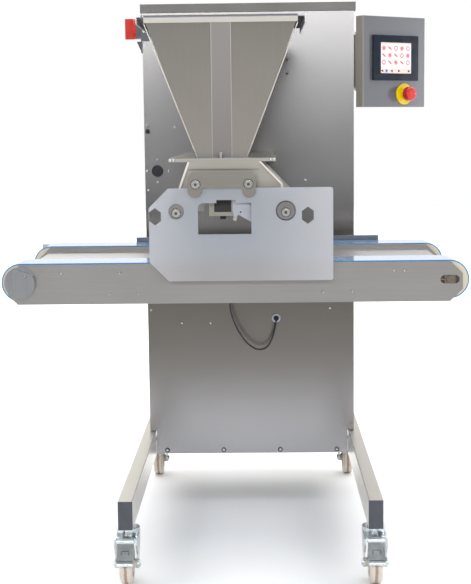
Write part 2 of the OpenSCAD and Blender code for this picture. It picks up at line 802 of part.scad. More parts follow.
module feed_motor() {
  half = 45;
  gear_depth = 130;
  y = [face_y + sheet_t, face_y + gear_depth];
  motor_d = 90;
  motor_in = 77;
  motor_drop = 270;
  motor_y = face_y + motor_in;
  motor_foot = roller_z - motor_drop;
  fin_step = 30;
  fin_t = 6;
  color("#6f757c") difference() {
    union() {
      block([feed_shaft_x - half, feed_shaft_x + half], y, [roller_z - half, roller_z + half]);
      rod_z(feed_shaft_x, motor_y, [motor_foot, roller_z - half + 1], motor_d);
      for (i = [0 : 5])
        translate([0, 0, motor_foot + 15 + fin_step * i])
          rod_z(feed_shaft_x, motor_y, [0, fin_t], motor_d + 10);
    }
    rod_y(feed_shaft_x, roller_z, [y[0] - 1, face_y + 62], shaft_d + 2 * run_fit);
  }
}

// White arm that hangs from its pivot and holds one end of the wire on a small lug
module cutter_arm(y) {
  hub_r = 14;
  lug_r = 4;
  screw_hole = [42.5, -66.5];
  difference() {
    union() {
      slab_y([y, y + arm_t]) translate([head_x, pivot_z]) polygon([
        [-12, -7], [12, 7], [76, -62], [68, -90], [38, -73], [23.5, -66], [23.5, -37]
      ]);
      rod_y(head_x, pivot_z, [y, y + arm_t], 2 * hub_r);
      rod_y(head_x + wire_pos[0], pivot_z + wire_pos[1], [y, y + arm_t], 2 * lug_r);
      slab_y([y, y + arm_t]) translate([head_x, pivot_z]) polygon([
        wire_pos - [lug_r - 0.5, 0], [25.5, -64], [37, -69], wire_pos + [lug_r - 0.5, 0]
      ]);
    }
    rod_y(head_x, pivot_z, [y - 1, y + arm_t + 1], pivot_d + 2 * run_fit);
    rod_y(head_x + wire_pos[0], pivot_z + wire_pos[1], [y - 1, y + arm_t + 1], wire_d);
    rod_y(head_x + screw_hole[0], pivot_z + screw_hole[1], [y - 1, y + arm_t + 1], 4);
  }
}

module cutter_arms() {
  color("#e9eaec") {
    cutter_arm(arm_front_y);
    cutter_arm(arm_rear_y);
  }
}

module cutting_wire() {
  x = head_x + wire_pos[0];
  z = pivot_z + wire_pos[1];
  y = [arm_front_y, arm_rear_y + arm_t];
  color("#dcdcdc") {
    rod_y(x, z, [y[0] - 1, y[1] + 1], wire_d);
    rod_y(x, z, [y[0] - 3, y[0]], 9);
    rod_y(x, z, [y[1], y[1] + 6], 9);
  }
}

module hopper() {
  half_top = hopper_top_w / 2;
  half_foot = hopper_foot_w / 2;
  rim_z = hopper_top - 6;
  y = [hopper_y, hopper_y + hopper_d];
  slope = (half_top - half_foot) / (rim_z - plate_top);
  strip_w = 48;
  rim_half = half_top + rim_w;
  color("#928c84") translate([head_x, 0, 0]) difference() {
    union() {
      slab_y(y) polygon([
        [-half_foot, plate_top], [half_foot, plate_top], [half_top, rim_z], [-half_top, rim_z]
      ]);
      block([-half_foot - foot_flange, half_foot + foot_flange], [y[0] - foot_flange, y[1] + foot_flange],
        [plate_top, plate_top + hopper_t]);
      block([-rim_half, rim_half], [y[0] - 6, y[1] + 6], [rim_z, hopper_top - 4]);
      for (s = [-1, 1])
        block([s * (rim_half - hopper_t / 2) - hopper_t / 2, s * (rim_half - hopper_t / 2) + hopper_t / 2],
          [y[0] - 6, y[1] + 6], [hopper_top - 4 - rim_lip, hopper_top - 4]);
      slab_x([-half_top, half_top]) polygon([
        [y[0] + 1, rim_z - 12], [y[0] - 1, rim_z - 12], [y[0] - 6, rim_z + 1], [y[0] + 1, rim_z + 1]
      ]);
      block([-strip_w / 2, strip_w / 2], [y[0] - 1.5, y[0] + 1], [plate_top + 8, rim_z - 12]);
      block([-half_top, half_top], y, [rim_z, hopper_top]);
    }
    slab_y([y[0] + hopper_t, y[1] - hopper_t]) polygon([
      [-half_foot + hopper_t - slope, plate_top - 1], [half_foot - hopper_t + slope, plate_top - 1],
      [half_top - hopper_t, rim_z], [half_top - hopper_t, hopper_top + 1],
      [-half_top + hopper_t, hopper_top + 1], [-half_top + hopper_t, rim_z]
    ]);
  }
}

module rubber_plugs() {
  color("#17191c") {
    translate([cab_x + plug_pos[0], face_y, plug_pos[1]]) rotate([90, 0, 0]) {
      cylinder(h = 5, d = plug_d);
      translate([0, 0, -sheet_t - 3]) cylinder(h = sheet_t + 4, d = plug_d - 5 - 2 * run_fit);
    }
    translate([cab_x + small_plug[0], face_y, small_plug[1]]) rotate([90, 0, 0]) {
      cylinder(h = 4, d = small_plug_d);
      translate([0, 0, -sheet_t - 3]) cylinder(h = sheet_t + 4, d = small_plug_d - 4 - 2 * run_fit);
    }
    translate([grommet[0], face_y, grommet[1]]) rotate([90, 0, 0]) {
      cylinder(h = 3, d = grommet_hole_d + 8);
      translate([0, 0, -sheet_t - 4]) cylinder(h = sheet_t + 5, d = grommet_hole_d - 2 * run_fit);
      cylinder(h = grommet_len, d1 = 14, d2 = 9);
    }
  }
}

// Smooth curve through the route's points, and a round tube swept along it
function curve(a, b, c, d, t) =
  0.5 * ((2 * b) + (c - a) * t + (2 * a - 5 * b + 4 * c - d) * t * t + (3 * b - a - 3 * c + d) * t * t * t);
function route_at(p, i) = p[max(0, min(len(p) - 1, i))];
function smooth(p, steps) = concat(
  [for (i = [0 : len(p) - 2], k = [0 : steps - 1])
    curve(route_at(p, i - 1), p[i], p[i + 1], route_at(p, i + 2), k / steps)],
  [p[len(p) - 1]]);
function unit(v) = v / norm(v);
cable_sides = 10;
cable_up = [0.7, -0.6, 0.4];

module tube(path, d, sides) {
  n = len(path);
  points = [for (i = [0 : n - 1])
    let (
      run = i == 0 ? [0, 0, -1] : (i == n - 1 ? [0, 1, 0] : unit(path[i + 1] - path[i - 1])),
      u = unit(cross(run, cable_up)),
      v = cross(run, u)
    ) for (k = [0 : sides - 1]) path[i] + d / 2 * (cos(k * 360 / sides) * u + sin(k * 360 / sides) * v)];
  walls = [for (i = [0 : n - 2], k = [0 : sides - 1])
    let (a = i * sides + k, b = i * sides + (k + 1) % sides)
      each [[a, a + sides, b], [b, a + sides, b + sides]]];
  first = [for (k = [0 : sides - 1]) k];
  last = [for (k = [sides - 1 : -1 : 0]) (n - 1) * sides + k];
  polyhedron(points, concat(walls, [first, last]));
}

module cable() {
  color("#2b2d30") translate([0, face_y, 0]) tube(smooth(cable_route, 3), cable_d, cable_sides);
}

module cable_gland() {
  color("#303236") {
    rod_z(gland_x, carriage_y + carriage_t / 2, [carriage_z[0] - gland_h, carriage_z[0] - 6], 12);
    translate([gland_x, carriage_y + carriage_t / 2, carriage_z[0] - 8]) cylinder(h = 8, d = 17, $fn = 6);
  }
}

module isolator_base() {
  x = [cab_l - iso_plate_t, cab_l];
  z = [iso_z - 36, iso_z + 36];
  color("#8b8d90") difference() {
    union() {
      block(x, [face_y - 3, iso_y + 36], [z[0] - 33, z[1]]);
      block([x[0], cab_l + 23], [face_y - 3, face_y], [z[0], z[0] + 24]);
      slab_y([iso_y - 16, iso_y - 12]) polygon([[x[0] - 14, z[0]], [x[0] + 1, z[0]], [x[0] + 1, z[0] - 33]]);
      block([x[0] - iso_box_d, x[0] + 1], [iso_y - 27, iso_y + 27], [iso_z - 27, iso_z + 27]);
    }
    rod_x(iso_y, iso_z, [x[0] - iso_box_d - 1, x[0] - 1], 12 + 2 * run_fit);
  }
}

module isolator_handle() {
  x1 = cab_l - iso_plate_t - iso_box_d - slide_gap;
  x0 = x1 - handle_d;
  disc = 9;
  color("#d93a20") {
    rod_x(iso_y, iso_z, [x1 - disc, x1], handle_len);
    rod_x(iso_y, iso_z, [x1 - 1, x1 + 10], 12);
    block([x0, x1 - disc + 1], [iso_y - 8, iso_y + 8], [iso_z - handle_len / 2, iso_z + handle_len / 2]);
  }
}

module panel_bracket() {
  color("#a9a9aa") {
    difference() {
      union() {
        block([cab_r, cab_r + 3], [hinge_y + 6, hinge_y + 46], hinge_z);
        for (z = [[hinge_z[0], hinge_z[0] + ear_t], [hinge_z[1] - ear_t, hinge_z[1]]]) {
          block([cab_r, hinge_x], [hinge_y - hinge_r, hinge_y + 8], z);
          rod_z(hinge_x, hinge_y, z, 2 * hinge_r);
        }
      }
      rod_z(hinge_x, hinge_y, [hinge_z[0] - 1, hinge_z[1] + 1], hinge_pin_d);
    }
    rod_z(hinge_x, hinge_y, [hinge_z[0] - 2, hinge_z[1] + 2], hinge_pin_d);
  }
}

// Panel frame: hinge at the origin, width along X, face towards -Y
module panel_place() {
  translate([hinge_x, hinge_y, panel_z]) rotate([0, 0, panel_angle]) children();
}

module control_box() {
  x = [panel_x0, panel_x0 + panel_w];
  barrel = [hinge_z[0] - panel_z + ear_t + slide_gap, hinge_z[1] - panel_z - ear_t - slide_gap];
  color("#b4b4b4") panel_place() difference() {
    union() {
      block(x, [-panel_d, -6], [0, panel_h]);
      block([x[0], x[1]], [-7, 0], [barrel[0], barrel[1]]);
      rod_z(0, 0, barrel, 2 * hinge_r);
    }
    block([x[0] + panel_wall, x[1] - panel_wall], [-panel_d + panel_wall, -6 - panel_wall],
      [panel_wall, panel_h - panel_wall]);
    block([bezel_x + 10, bezel_x + bezel_w - 10], [-panel_d - 1, -panel_d + panel_wall + 1],
      [bezel_z + 10, bezel_z + bezel_h - 10]);
    rod_y(stop_pos[0], stop_pos[1], [-panel_d - 1, -panel_d + panel_wall + 1], stop_stem_d + 8);
    rod_z(0, 0, [barrel[0] - 1, barrel[1] + 1], hinge_pin_d + 2 * run_fit);
  }
}

module touch_screen() {
  frame = 26;
  recess = 1.5;
  color("#1e2c3a") panel_place() difference() {
    union() {
      block([bezel_x, bezel_x + bezel_w], [-panel_d - bezel_t, -panel_d], [bezel_z, bezel_z + bezel_h]);
      block([bezel_x + 10 + slide_gap, bezel_x + bezel_w - 10 - slide_gap], [-panel_d - 1, -panel_d + 20],
        [bezel_z + 10 + slide_gap, bezel_z + bezel_h - 10 - slide_gap]);
    }
    block([bezel_x + frame, bezel_x + bezel_w - frame], [-panel_d - bezel_t - 1, -panel_d - bezel_t + recess],
      [bezel_z + 20, bezel_z + bezel_h - 20]);
  }
}

module emergency_stop() {
  color("#f0d800") panel_place() difference() {
    union() {
      rod_y(stop_pos[0], stop_pos[1], [-panel_d - stop_plate_t, -panel_d], stop_collar_d);
      rod_y(stop_pos[0], stop_pos[1], [-panel_d - stop_plate_t - stop_neck_h, -panel_d], stop_neck_d);
      rod_y(stop_pos[0], stop_pos[1], [-panel_d - 1, -panel_d + 14], stop_stem_d + 8 - 2 * run_fit);
    }
    rod_y(stop_pos[0], stop_pos[1], [-panel_d - 30, -panel_d + 12], stop_stem_d + 2 * run_fit);
  }
}

module stop_button() {
  y1 = -panel_d - stop_plate_t - stop_rise;
  head = 19;
  round_r = 8;
  color("#d21f1a") panel_place() {
    rod_y(stop_pos[0], stop_pos[1], [y1 - 1, -panel_d + 5], stop_stem_d);
    translate([stop_pos[0], y1, stop_pos[1]]) rotate([90, 0, 0]) rotate_extrude() union() {
      square([stop_d / 2, head - round_r]);
      square([stop_d / 2 - round_r, head]);
      translate([stop_d / 2 - round_r, head - round_r]) intersection() {
        circle(round_r);
        square(round_r);
      }
    }
  }
}

module cabinet_fasteners() {
  color("#d6d5d2") {
    for (p = foot_screws)
      dome_screw(cab_x + p[0], p[1], face_y, 10, 4, screw_d, 10);
    for (p = face_screws)
      dome_screw(cab_x + p[0], p[1], face_y, 8, 3, screw_d, 6);
    for (p = stud_pos)
      rod_y(cab_x + p[0], p[1], [face_y - stud_len, face_y + 6], stud_d);
  }
}

// Side plate outline with chamfered ends
module side_outline() {
  polygon([
    [-side_half + side_chamfer, side_top], [side_half - side_chamfer, side_top],
    [side_half, side_top - side_chamfer], [side_half, side_z + side_chamfer],
    [side_half - side_chamfer, side_z], [-side_half + drive_chamfer, side_z],
    [-side_half, side_z + drive_chamfer], [-side_half, side_top - side_chamfer]
  ]);
}

module tension_slot() {
  for (s = [-1, 1])
    translate([axis_x + s * (slot_len - slot_h) / 2, axis_z]) circle(d = slot_h);
  translate([axis_x - (slot_len - slot_h) / 2, axis_z - slot_h / 2]) square([slot_len - slot_h, slot_h]);
}

module side_plate(y, shaft_hole) {
  slab_y([y, y + side_t]) difference() {
    side_outline();
    tension_slot();
    translate([-axis_x, axis_z]) circle(d = shaft_hole);
  }
}

// Screws in the front side plate: cross members below, slider bed above
cross_screw_dx = 35;
plate_screws = concat(
  [for (x = cross_x, s = [-1, 1]) [x + s * cross_screw_dx, cross_z + cross_h / 2]],
  [for (x = [-axis_x + 97, cross_x[0] - 8, axis_x - 131, axis_x - 107]) [x, side_top - 21]]);

module front_side_plate() {
  color("#999790") difference() {
    side_plate(conv_y, shaft_d + 2 * run_fit);
    for (p = plate_screws)
      rod_y(p[0], p[1], [conv_y - 1, conv_y + side_t + 1], screw_d + 2 * run_fit);
  }
}

module rear_side_plate() {
  color("#999790") side_plate(conv_back - side_t, shaft_d + 2 * run_fit);
}

module inner_side_plates() {
  color("#a5a39c") for (y = [conv_y + module_w - side_t, rear_y0])
    difference() {
      side_plate(y, shaft_d + 4);
      for (x = cross_x)
        block([x - cross_w / 2 - 0.1, x + cross_w / 2 + 0.1], [y - 1, y + side_t + 1],
          [cross_z - 0.1, cross_z + cross_h + 0.1]);
    }
}

// Beds that the belts slide on, and the deck sheet between the two belts
module slider_beds() {
  half = axis_x - end_d / 2 - 8;
  deck_half = side_half - side_chamfer;
  deck_z = belt_top - deck_drop;
  color("#b5b4b0") {
    for (y = [conv_y, rear_y0])
      block([-half, half], [y + side_t, y + module_w - side_t], [side_top - bed_t, side_top]);
    block([-deck_half, deck_half], [conv_y + module_w, rear_y0], [deck_z - bed_t, deck_z]);
  }
}

module belt(y) {
  color("#3f8ccb") slab_y([y + side_t + belt_side_gap, y + side_t + belt_side_gap + belt_w]) difference() {
    union() {
      for (s = [-1, 1])
        translate([s * axis_x, axis_z]) circle(d = end_d);
      translate([-axis_x, axis_z - end_d / 2]) square([2 * axis_x, end_d]);
    }
    for (s = [-1, 1])
      translate([s * axis_x, axis_z]) circle(d = end_d - 2 * belt_t);
    translate([-axis_x, axis_z - end_d / 2 + belt_t]) square([2 * axis_x, end_d - 2 * belt_t]);
  }
}

module cross_members() {
  wall = 3;
  color("#a9a8a4") for (x = cross_x)
    difference() {
      block([x - cross_w / 2, x + cross_w / 2], [conv_y + side_t, conv_back - side_t],
        [cross_z, cross_z + cross_h]);
      block([x - cross_w / 2 + wall, x + cross_w / 2 - wall], [conv_y, conv_back],
        [cross_z + wall, cross_z + cross_h - wall]);
    }
}

module lift_rails() {
  color("#c4c6c8") for (s = [-1, 1])
    block([cab_x + s * rail_pitch / 2 - rail_w / 2, cab_x + s * rail_pitch / 2 + rail_w / 2],
      [face_y - rail_d, face_y], rail_z);
}

module lift_carriage() {
  y = [carriage_y, carriage_y + carriage_t];
  reach = rail_pitch / 2 + block_w / 2;
  lug_z = actuator_z[1] + 26;
  color("#8f9194") {
    difference() {
      union() {
        block([cab_x - reach, cab_x + reach], y, carriage_z);
        for (s = [-1, 1]) {
          x = cab_x + s * rail_pitch / 2;
          block([x - block_w / 2, x + block_w / 2], [y[1] - 1, face_y - 6], block_z);
          block([x - 20, x + 20], [conv_back, y[0] + 1], [side_z + 6, carriage_z[1]]);
        }
        block([cab_x - 14, cab_x + 14], [y[1] - 1, actuator_y + 14], [lug_z, lug_z + 12]);
      }
      for (s = [-1, 1])
        translate([cab_x + s * rail_pitch / 2, 0, 0])
          block([-rail_w / 2 - slide_gap, rail_w / 2 + slide_gap],
            [face_y - rail_d - slide_gap, face_y + 1], [block_z[0] - 1, block_z[1] + 1]);
    }
    rod_z(cab_x, actuator_y, [actuator_z[0] + 10, lug_z + 1], rod_d);
  }
}

module lift_actuator() {
  color("#4d5257") difference() {
    union() {
      rod_z(cab_x, actuator_y, actuator_z, actuator_d);
      block([cab_x - 18, cab_x + 18], [actuator_y - 18, face_y], [actuator_z[0] - 8, actuator_z[0]]);
    }
    rod_z(cab_x, actuator_y, [actuator_z[0] + 4, actuator_z[1] + 1], rod_d + 2 * run_fit);
  }
}

module drive_cover() {
  seat = 4;
  depth = 12;
  color("#7d8085") {
    rod_y(-axis_x, axis_z, [conv_y - seat, conv_y], 2 * drive_cover_r);
    slab_y([conv_y - depth, conv_y - 1]) difference() {
      translate([-axis_x, axis_z]) circle(drive_cover_r - 2);
      translate([-axis_x, axis_z]) rotate(-18) translate([-60, drive_cover_r - 12]) square([120, 40]);
    }
    for (p = [[13, 16], [-20, -18]])
      dome_screw(-axis_x + p[0], axis_z + p[1], conv_y - depth, 7, 3, 4, 2);
  }
}

module tension_blocks() {
  fit = 0.2;
  shoe_w = 26;
  block_t = side_t + 1.5;
  color("#6d5f55") for (y = [conv_y - 1, conv_back - side_t - 0.5])
    difference() {
      union() {
        slab_y([y, y + block_t]) translate([axis_x, axis_z])
          square([shoe_w, slot_h - 2 * fit], center = true);
        rod_x(y + block_t / 2, axis_z, [axis_x - slot_len / 2, axis_x - shoe_w / 2 + 1], block_t);
      }
      rod_y(axis_x, axis_z, [y - 1, y + block_t + 1], idler_d + 2 * run_fit);
    }
}

module conveyor_screws() {
  color("#c4c2bb") for (p = plate_screws)
    dome_screw(p[0], p[1], conv_y, 8, 3, screw_d, side_t);
}

module guide_bar() {
  y = [conv_back, conv_back + 4];
  bar_z = belt_top - 2;
  color("#8c9096") {
    block([bar_x - bar_len / 2, bar_x + bar_len / 2], [y[1] - 1, y[1] + 7], [bar_z, bar_z + bar_h]);
    for (f = [-0.45, 0, 0.45])
      translate([bar_x + f * bar_len, 0, 0]) block([-8, 8], y, [axis_z + 6, bar_z + bar_h]);
  }
}

module conveyor_motor() {
  gear_x = -axis_x - 2;
  y = [conv_back, conv_back + motor_s];
  color("#b9bcc0") difference() {
    union() {
      block([gear_x - motor_s / 2, gear_x + motor_s / 2], y,
        [axis_z + 1 - motor_s / 2, axis_z + 1 + motor_s / 2]);
      rod_x(y[0] + motor_s / 2, axis_z, [gear_x + motor_s / 2 - 1, gear_x + motor_s / 2 + 130], 64);
      for (i = [0 : 4])
        rod_x(y[0] + motor_s / 2, axis_z, [gear_x + 60 + 24 * i, gear_x + 66 + 24 * i], 72);
    }
    rod_y(-axis_x, axis_z, [y[0] - 1, y[0] + 52], shaft_d + 2 * run_fit);
  }
}

// Shaft with a drum inside each belt
module belt_roller(x, d, y) {
  color("#cfc9b8") {
    rod_y(x, axis_z, y, d);
    for (m = [conv_y, rear_y0])
      rod_y(x, axis_z, [m + side_t + 1, m + module_w - side_t - 1], 2 * drum_r);
  }
}

module drive_roller() {
  belt_roller(-axis_x, shaft_d, [conv_y, conv_back + 50]);
}

module idler_roller() {
  belt_roller(axis_x, idler_d, [conv_y - 4, conv_back + 4]);
}

cabinet_shell();
top_cap();
rear_cover();
base_frame();
leg_caps();
castor_mounts();
head_plate();
head_housing();
roller_bushes();
die_holder();
nozzle_bar();
guard_plate();
clamp_bracket();
head_bolts();
feed_motor();
lift_actuator();
lift_rails();
rubber_plugs();
cable();
isolator_base();
panel_bracket();
cabinet_fasteners();
hopper();
front_side_plate();
rear_side_plate();
inner_side_plates();
slider_beds();
belt(conv_y);  // belt_front
belt(rear_y0);  // belt_rear
cross_members();
lift_carriage();
drive_cover();
tension_blocks();
conveyor_screws();
guide_bar();
conveyor_motor();
cable_gland();
drive_roller();
idler_roller();
feed_roller(-1);  // feed_roller_left
feed_roller(1);  // feed_roller_right
feed_gear(-1, 0);  // feed_gear_left
feed_gear(1, 0.5);  // feed_gear_right
cutter_arms();
cutting_wire();
castor_fork(-1, swivel_front_y, true);  // castor_fork_front_left
castor_fork(1, swivel_front_y, true);  // castor_fork_front_right
castor_fork(-1, swivel_rear_y, false);  // castor_fork_rear_left
castor_fork(1, swivel_rear_y, false);  // castor_fork_rear_right
castor_wheel(-1, swivel_front_y);  // castor_wheel_front_left
castor_wheel(1, swivel_front_y);  // castor_wheel_front_right
castor_wheel(-1, swivel_rear_y);  // castor_wheel_rear_left
castor_wheel(1, swivel_rear_y);  // castor_wheel_rear_right
brake_pedal(-1);  // brake_pedal_left
brake_pedal(1);  // brake_pedal_right
control_box();
touch_screen();
emergency_stop();
stop_button();
isolator_handle();
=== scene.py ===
"""Cookie depositor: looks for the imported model, piece by piece as the machine is put together."""
import math

import bmesh
import bpy
from mathutils import Matrix, Vector


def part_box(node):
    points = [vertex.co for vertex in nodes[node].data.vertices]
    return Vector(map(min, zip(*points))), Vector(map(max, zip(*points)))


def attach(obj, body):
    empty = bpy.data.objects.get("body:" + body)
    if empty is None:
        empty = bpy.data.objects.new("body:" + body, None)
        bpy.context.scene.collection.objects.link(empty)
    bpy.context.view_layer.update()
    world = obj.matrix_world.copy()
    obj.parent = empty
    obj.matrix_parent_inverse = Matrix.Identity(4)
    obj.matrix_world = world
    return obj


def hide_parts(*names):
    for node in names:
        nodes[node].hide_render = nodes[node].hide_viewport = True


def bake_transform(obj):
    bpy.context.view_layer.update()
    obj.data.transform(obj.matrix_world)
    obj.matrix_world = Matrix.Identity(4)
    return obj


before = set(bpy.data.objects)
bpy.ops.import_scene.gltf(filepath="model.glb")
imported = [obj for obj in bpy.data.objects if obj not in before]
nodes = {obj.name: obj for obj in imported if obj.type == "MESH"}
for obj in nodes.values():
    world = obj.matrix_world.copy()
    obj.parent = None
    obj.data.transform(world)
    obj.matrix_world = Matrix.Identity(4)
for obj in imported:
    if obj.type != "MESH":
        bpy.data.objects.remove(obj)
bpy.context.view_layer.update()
MM = 0.001

# Camera: a long lens in front of the machine, a little above its middle and to the right,
# tilted down. Its place comes from the edges of the cabinet, conveyor and legs.
CAMERA_AT = Vector((61.7, -3550.7, 1096.0)) * MM
CAMERA_PITCH, CAMERA_YAW, CAMERA_ROLL = (math.radians(a) for a in (7.226, 1.127, -0.667))
FOCAL_PX, IMAGE_LONG_PX, SENSOR_MM = 1293.3, 584, 36
forward = Vector((-math.sin(CAMERA_YAW) * math.cos(CAMERA_PITCH),
                  math.cos(CAMERA_YAW) * math.cos(CAMERA_PITCH), -math.sin(CAMERA_PITCH)))
level = Vector((math.cos(CAMERA_YAW), math.sin(CAMERA_YAW), 0))
upright = level.cross(forward)
camera_right = level * math.cos(CAMERA_ROLL) + upright * math.sin(CAMERA_ROLL)
camera_up = upright * math.cos(CAMERA_ROLL) - level * math.sin(CAMERA_ROLL)
camera = bpy.data.objects.new("camera", bpy.data.cameras.new("camera"))
camera.data.sensor_width = SENSOR_MM
camera.data.lens = FOCAL_PX / IMAGE_LONG_PX * SENSOR_MM
turn = Matrix((camera_right, camera_up, -forward)).transposed()
camera.matrix_world = Matrix.Translation(CAMERA_AT) @ turn.to_4x4()
bpy.context.collection.objects.link(camera)
bpy.context.scene.camera = camera
bpy.context.scene.view_settings.view_transform = "Standard"


# Sensor cable: a thin black PVC lead from the gland under the lift carriage to the grommet in the
# cabinet's face. It hangs in a slack loop, so that the conveyor can rise.
def srgb(text):
    """Linear colour of an sRGB hex value."""
    parts = [int(text[i:i + 2], 16) / 255 for i in (1, 3, 5)]
    return [c / 12.92 if c <= 0.04045 else ((c + 0.055) / 1.055) ** 2.4 for c in parts] + [1.0]


def add(tree, kind, inputs=None, **settings):
    """Adds a node with its settings; inputs are values or sockets to link from."""
    node = tree.nodes.new(kind)
    for name, value in settings.items():
        setattr(node, name, value)
    for name, value in (inputs or {}).items():
        if isinstance(value, bpy.types.NodeSocket):
            tree.links.new(value, node.inputs[name])
        else:
            node.inputs[name].default_value = value
    return node


def blank_material(name):
    """Empty node material with its output, ready for one shader."""
    material = bpy.data.materials.new(name)
    material.use_nodes = True
    material.node_tree.nodes.clear()
    return material, material.node_tree, material.node_tree.nodes.new("ShaderNodeOutputMaterial")


MARK_SIZE, GRAIN_DEPTH = 28 * MM, 0.02 * MM


def moulded(name, base, shade, roughness, ior=1.5, grain_mm=1.2, coat=0.0):
    """Moulded or machined plastic: fine spark-eroded grain and faint handling marks."""
    material, tree, output = blank_material(name)
    place = add(tree, "ShaderNodeTexCoord")
    grain = add(tree, "ShaderNodeTexNoise", {
        "Vector": place.outputs["Object"], "Scale": 1 / (grain_mm * MM), "Detail": 2.0})
    marks = add(tree, "ShaderNodeTexNoise", {
        "Vector": place.outputs["Object"], "Scale": 1 / MARK_SIZE, "Detail": 4.0})
    tone = add(tree, "ShaderNodeMix", {
        0: marks.outputs["Fac"], 6: srgb(base), 7: srgb(shade)}, data_type="RGBA")
    gloss = add(tree, "ShaderNodeMapRange", {
        "Value": marks.outputs["Fac"], "From Min": 0.3, "From Max": 0.7,
        "To Min": roughness * 0.85, "To Max": min(1.0, roughness * 1.2)})
    relief = add(tree, "ShaderNodeBump", {
        "Height": grain.outputs["Fac"], "Strength": 0.25, "Distance": GRAIN_DEPTH})
    shader = add(tree, "ShaderNodeBsdfPrincipled", {
        "Base Color": tone.outputs[2], "Roughness": gloss.outputs["Result"], "IOR": ior,
        "Coat Weight": coat, "Normal": relief.outputs["Normal"]})
    tree.links.new(shader.outputs["BSDF"], output.inputs["Surface"])
    return material


def new_piece(name, mesh, material, body):
    """Puts a finished mesh in the scene, on its body."""
    piece = bpy.data.objects.new(name, mesh)
    bpy.context.collection.objects.link(piece)
    mesh.materials.append(material)
    if body:
        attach(piece, body)
    return piece


def tube_mesh(name, path, radius, sides):
    """Tube swept along points; radius is one number or one for each point."""
    mesh = bmesh.new()
    radii = radius if isinstance(radius, list) else [radius] * len(path)
    rings, side = [], None
    for i, point in enumerate(path):
        run = (path[min(i + 1, len(path) - 1)] - path[max(i - 1, 0)]).normalized()
        if side is None:
            side = run.orthogonal().normalized()
        side = (side - run * side.dot(run)).normalized()
        cross = run.cross(side)
        rings.append([mesh.verts.new(point + radii[i] * (
            side * math.cos(2 * math.pi * k / sides) + cross * math.sin(2 * math.pi * k / sides)))
            for k in range(sides)])
    for a, b in zip(rings, rings[1:]):
        for k in range(sides):
            mesh.faces.new((a[k], a[(k + 1) % sides], b[(k + 1) % sides], b[k])).smooth = True
    mesh.faces.new(rings[0][::-1])
    mesh.faces.new(rings[-1])
    data = bpy.data.meshes.new(name)
    mesh.to_mesh(data)
    mesh.free()
    return data


def smooth_route(points, steps):
    """Curve through the route's points, as the solid's route has it."""
    curve = []
    for i in range(len(points) - 1):
        a, b = points[max(i - 1, 0)], points[i]
        c, d = points[i + 1], points[min(i + 2, len(points) - 1)]
        for k in range(steps):
            t = k / steps
            curve.append(0.5 * (2 * b + (c - a) * t + (2 * a - 5 * b + 4 * c - d) * t * t
                                + (3 * b - a - 3 * c + d) * t * t * t))
    return curve + [points[-1]]


FACE_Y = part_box("cabinet_shell")[0][1]
CABLE_D, CABLE_SIDES, ROUTE_STEPS = 5 * MM, 14, 6
CABLE_ROUTE = [Vector(p) * MM + Vector((0, FACE_Y, 0)) for p in (
    (-26, -59, 600), (-26, -59, 580), (-20, -59, 556), (-10, -59, 530), (4, -58, 505), (20, -56, 483),
    (40, -53, 467), (60, -48, 461), (78, -44, 468), (90, -40, 485), (97, -38, 503), (102, -34, 522),
    (105, -28, 536), (106, -20, 543), (106, -14, 545))]
cable_path = smooth_route(CABLE_ROUTE, ROUTE_STEPS)
black_pvc = moulded("black_pvc_extruded", "#24262a", "#33353a", 0.42, ior=1.53)
cable = new_piece("sensor_cable", tube_mesh("sensor_cable", cable_path, CABLE_D / 2, CABLE_SIDES),
                  black_pvc, None)
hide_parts("cable")
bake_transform(cable)

# Floor and light: a pale studio floor and a white backdrop, with the darker half of the studio behind
# the camera. A long strip softbox lights the top of the cabinet, a hard small one stands at the right,
# and a weak one lights the space behind the head's window.
material, tree, output = blank_material("pale_floor_paint")
place = add(tree, "ShaderNodeTexCoord")
CLOUD_SIZE, FLOOR_HALF = 1 / 3, 14.0
cloud = add(tree, "ShaderNodeTexNoise", {"Vector": place.outputs["Object"], "Scale": 1 / CLOUD_SIZE})
tone = add(tree, "ShaderNodeMix", {
    0: cloud.outputs["Fac"], 6: srgb("#f9f9f9"), 7: srgb("#f5f5f5")}, data_type="RGBA")
shader = add(tree, "ShaderNodeBsdfPrincipled", {"Base Color": tone.outputs[2], "Roughness": 0.7})
tree.links.new(shader.outputs["BSDF"], output.inputs["Surface"])
floor_mesh = bpy.data.meshes.new("floor")
floor_mesh.from_pydata([(-FLOOR_HALF, -FLOOR_HALF, 0), (FLOOR_HALF, -FLOOR_HALF, 0),
                        (FLOOR_HALF, FLOOR_HALF, 0), (-FLOOR_HALF, FLOOR_HALF, 0)], [], [(0, 1, 2, 3)])
floor = bpy.data.objects.new("floor", floor_mesh)
floor_mesh.materials.append(material)
bpy.context.collection.objects.link(floor)

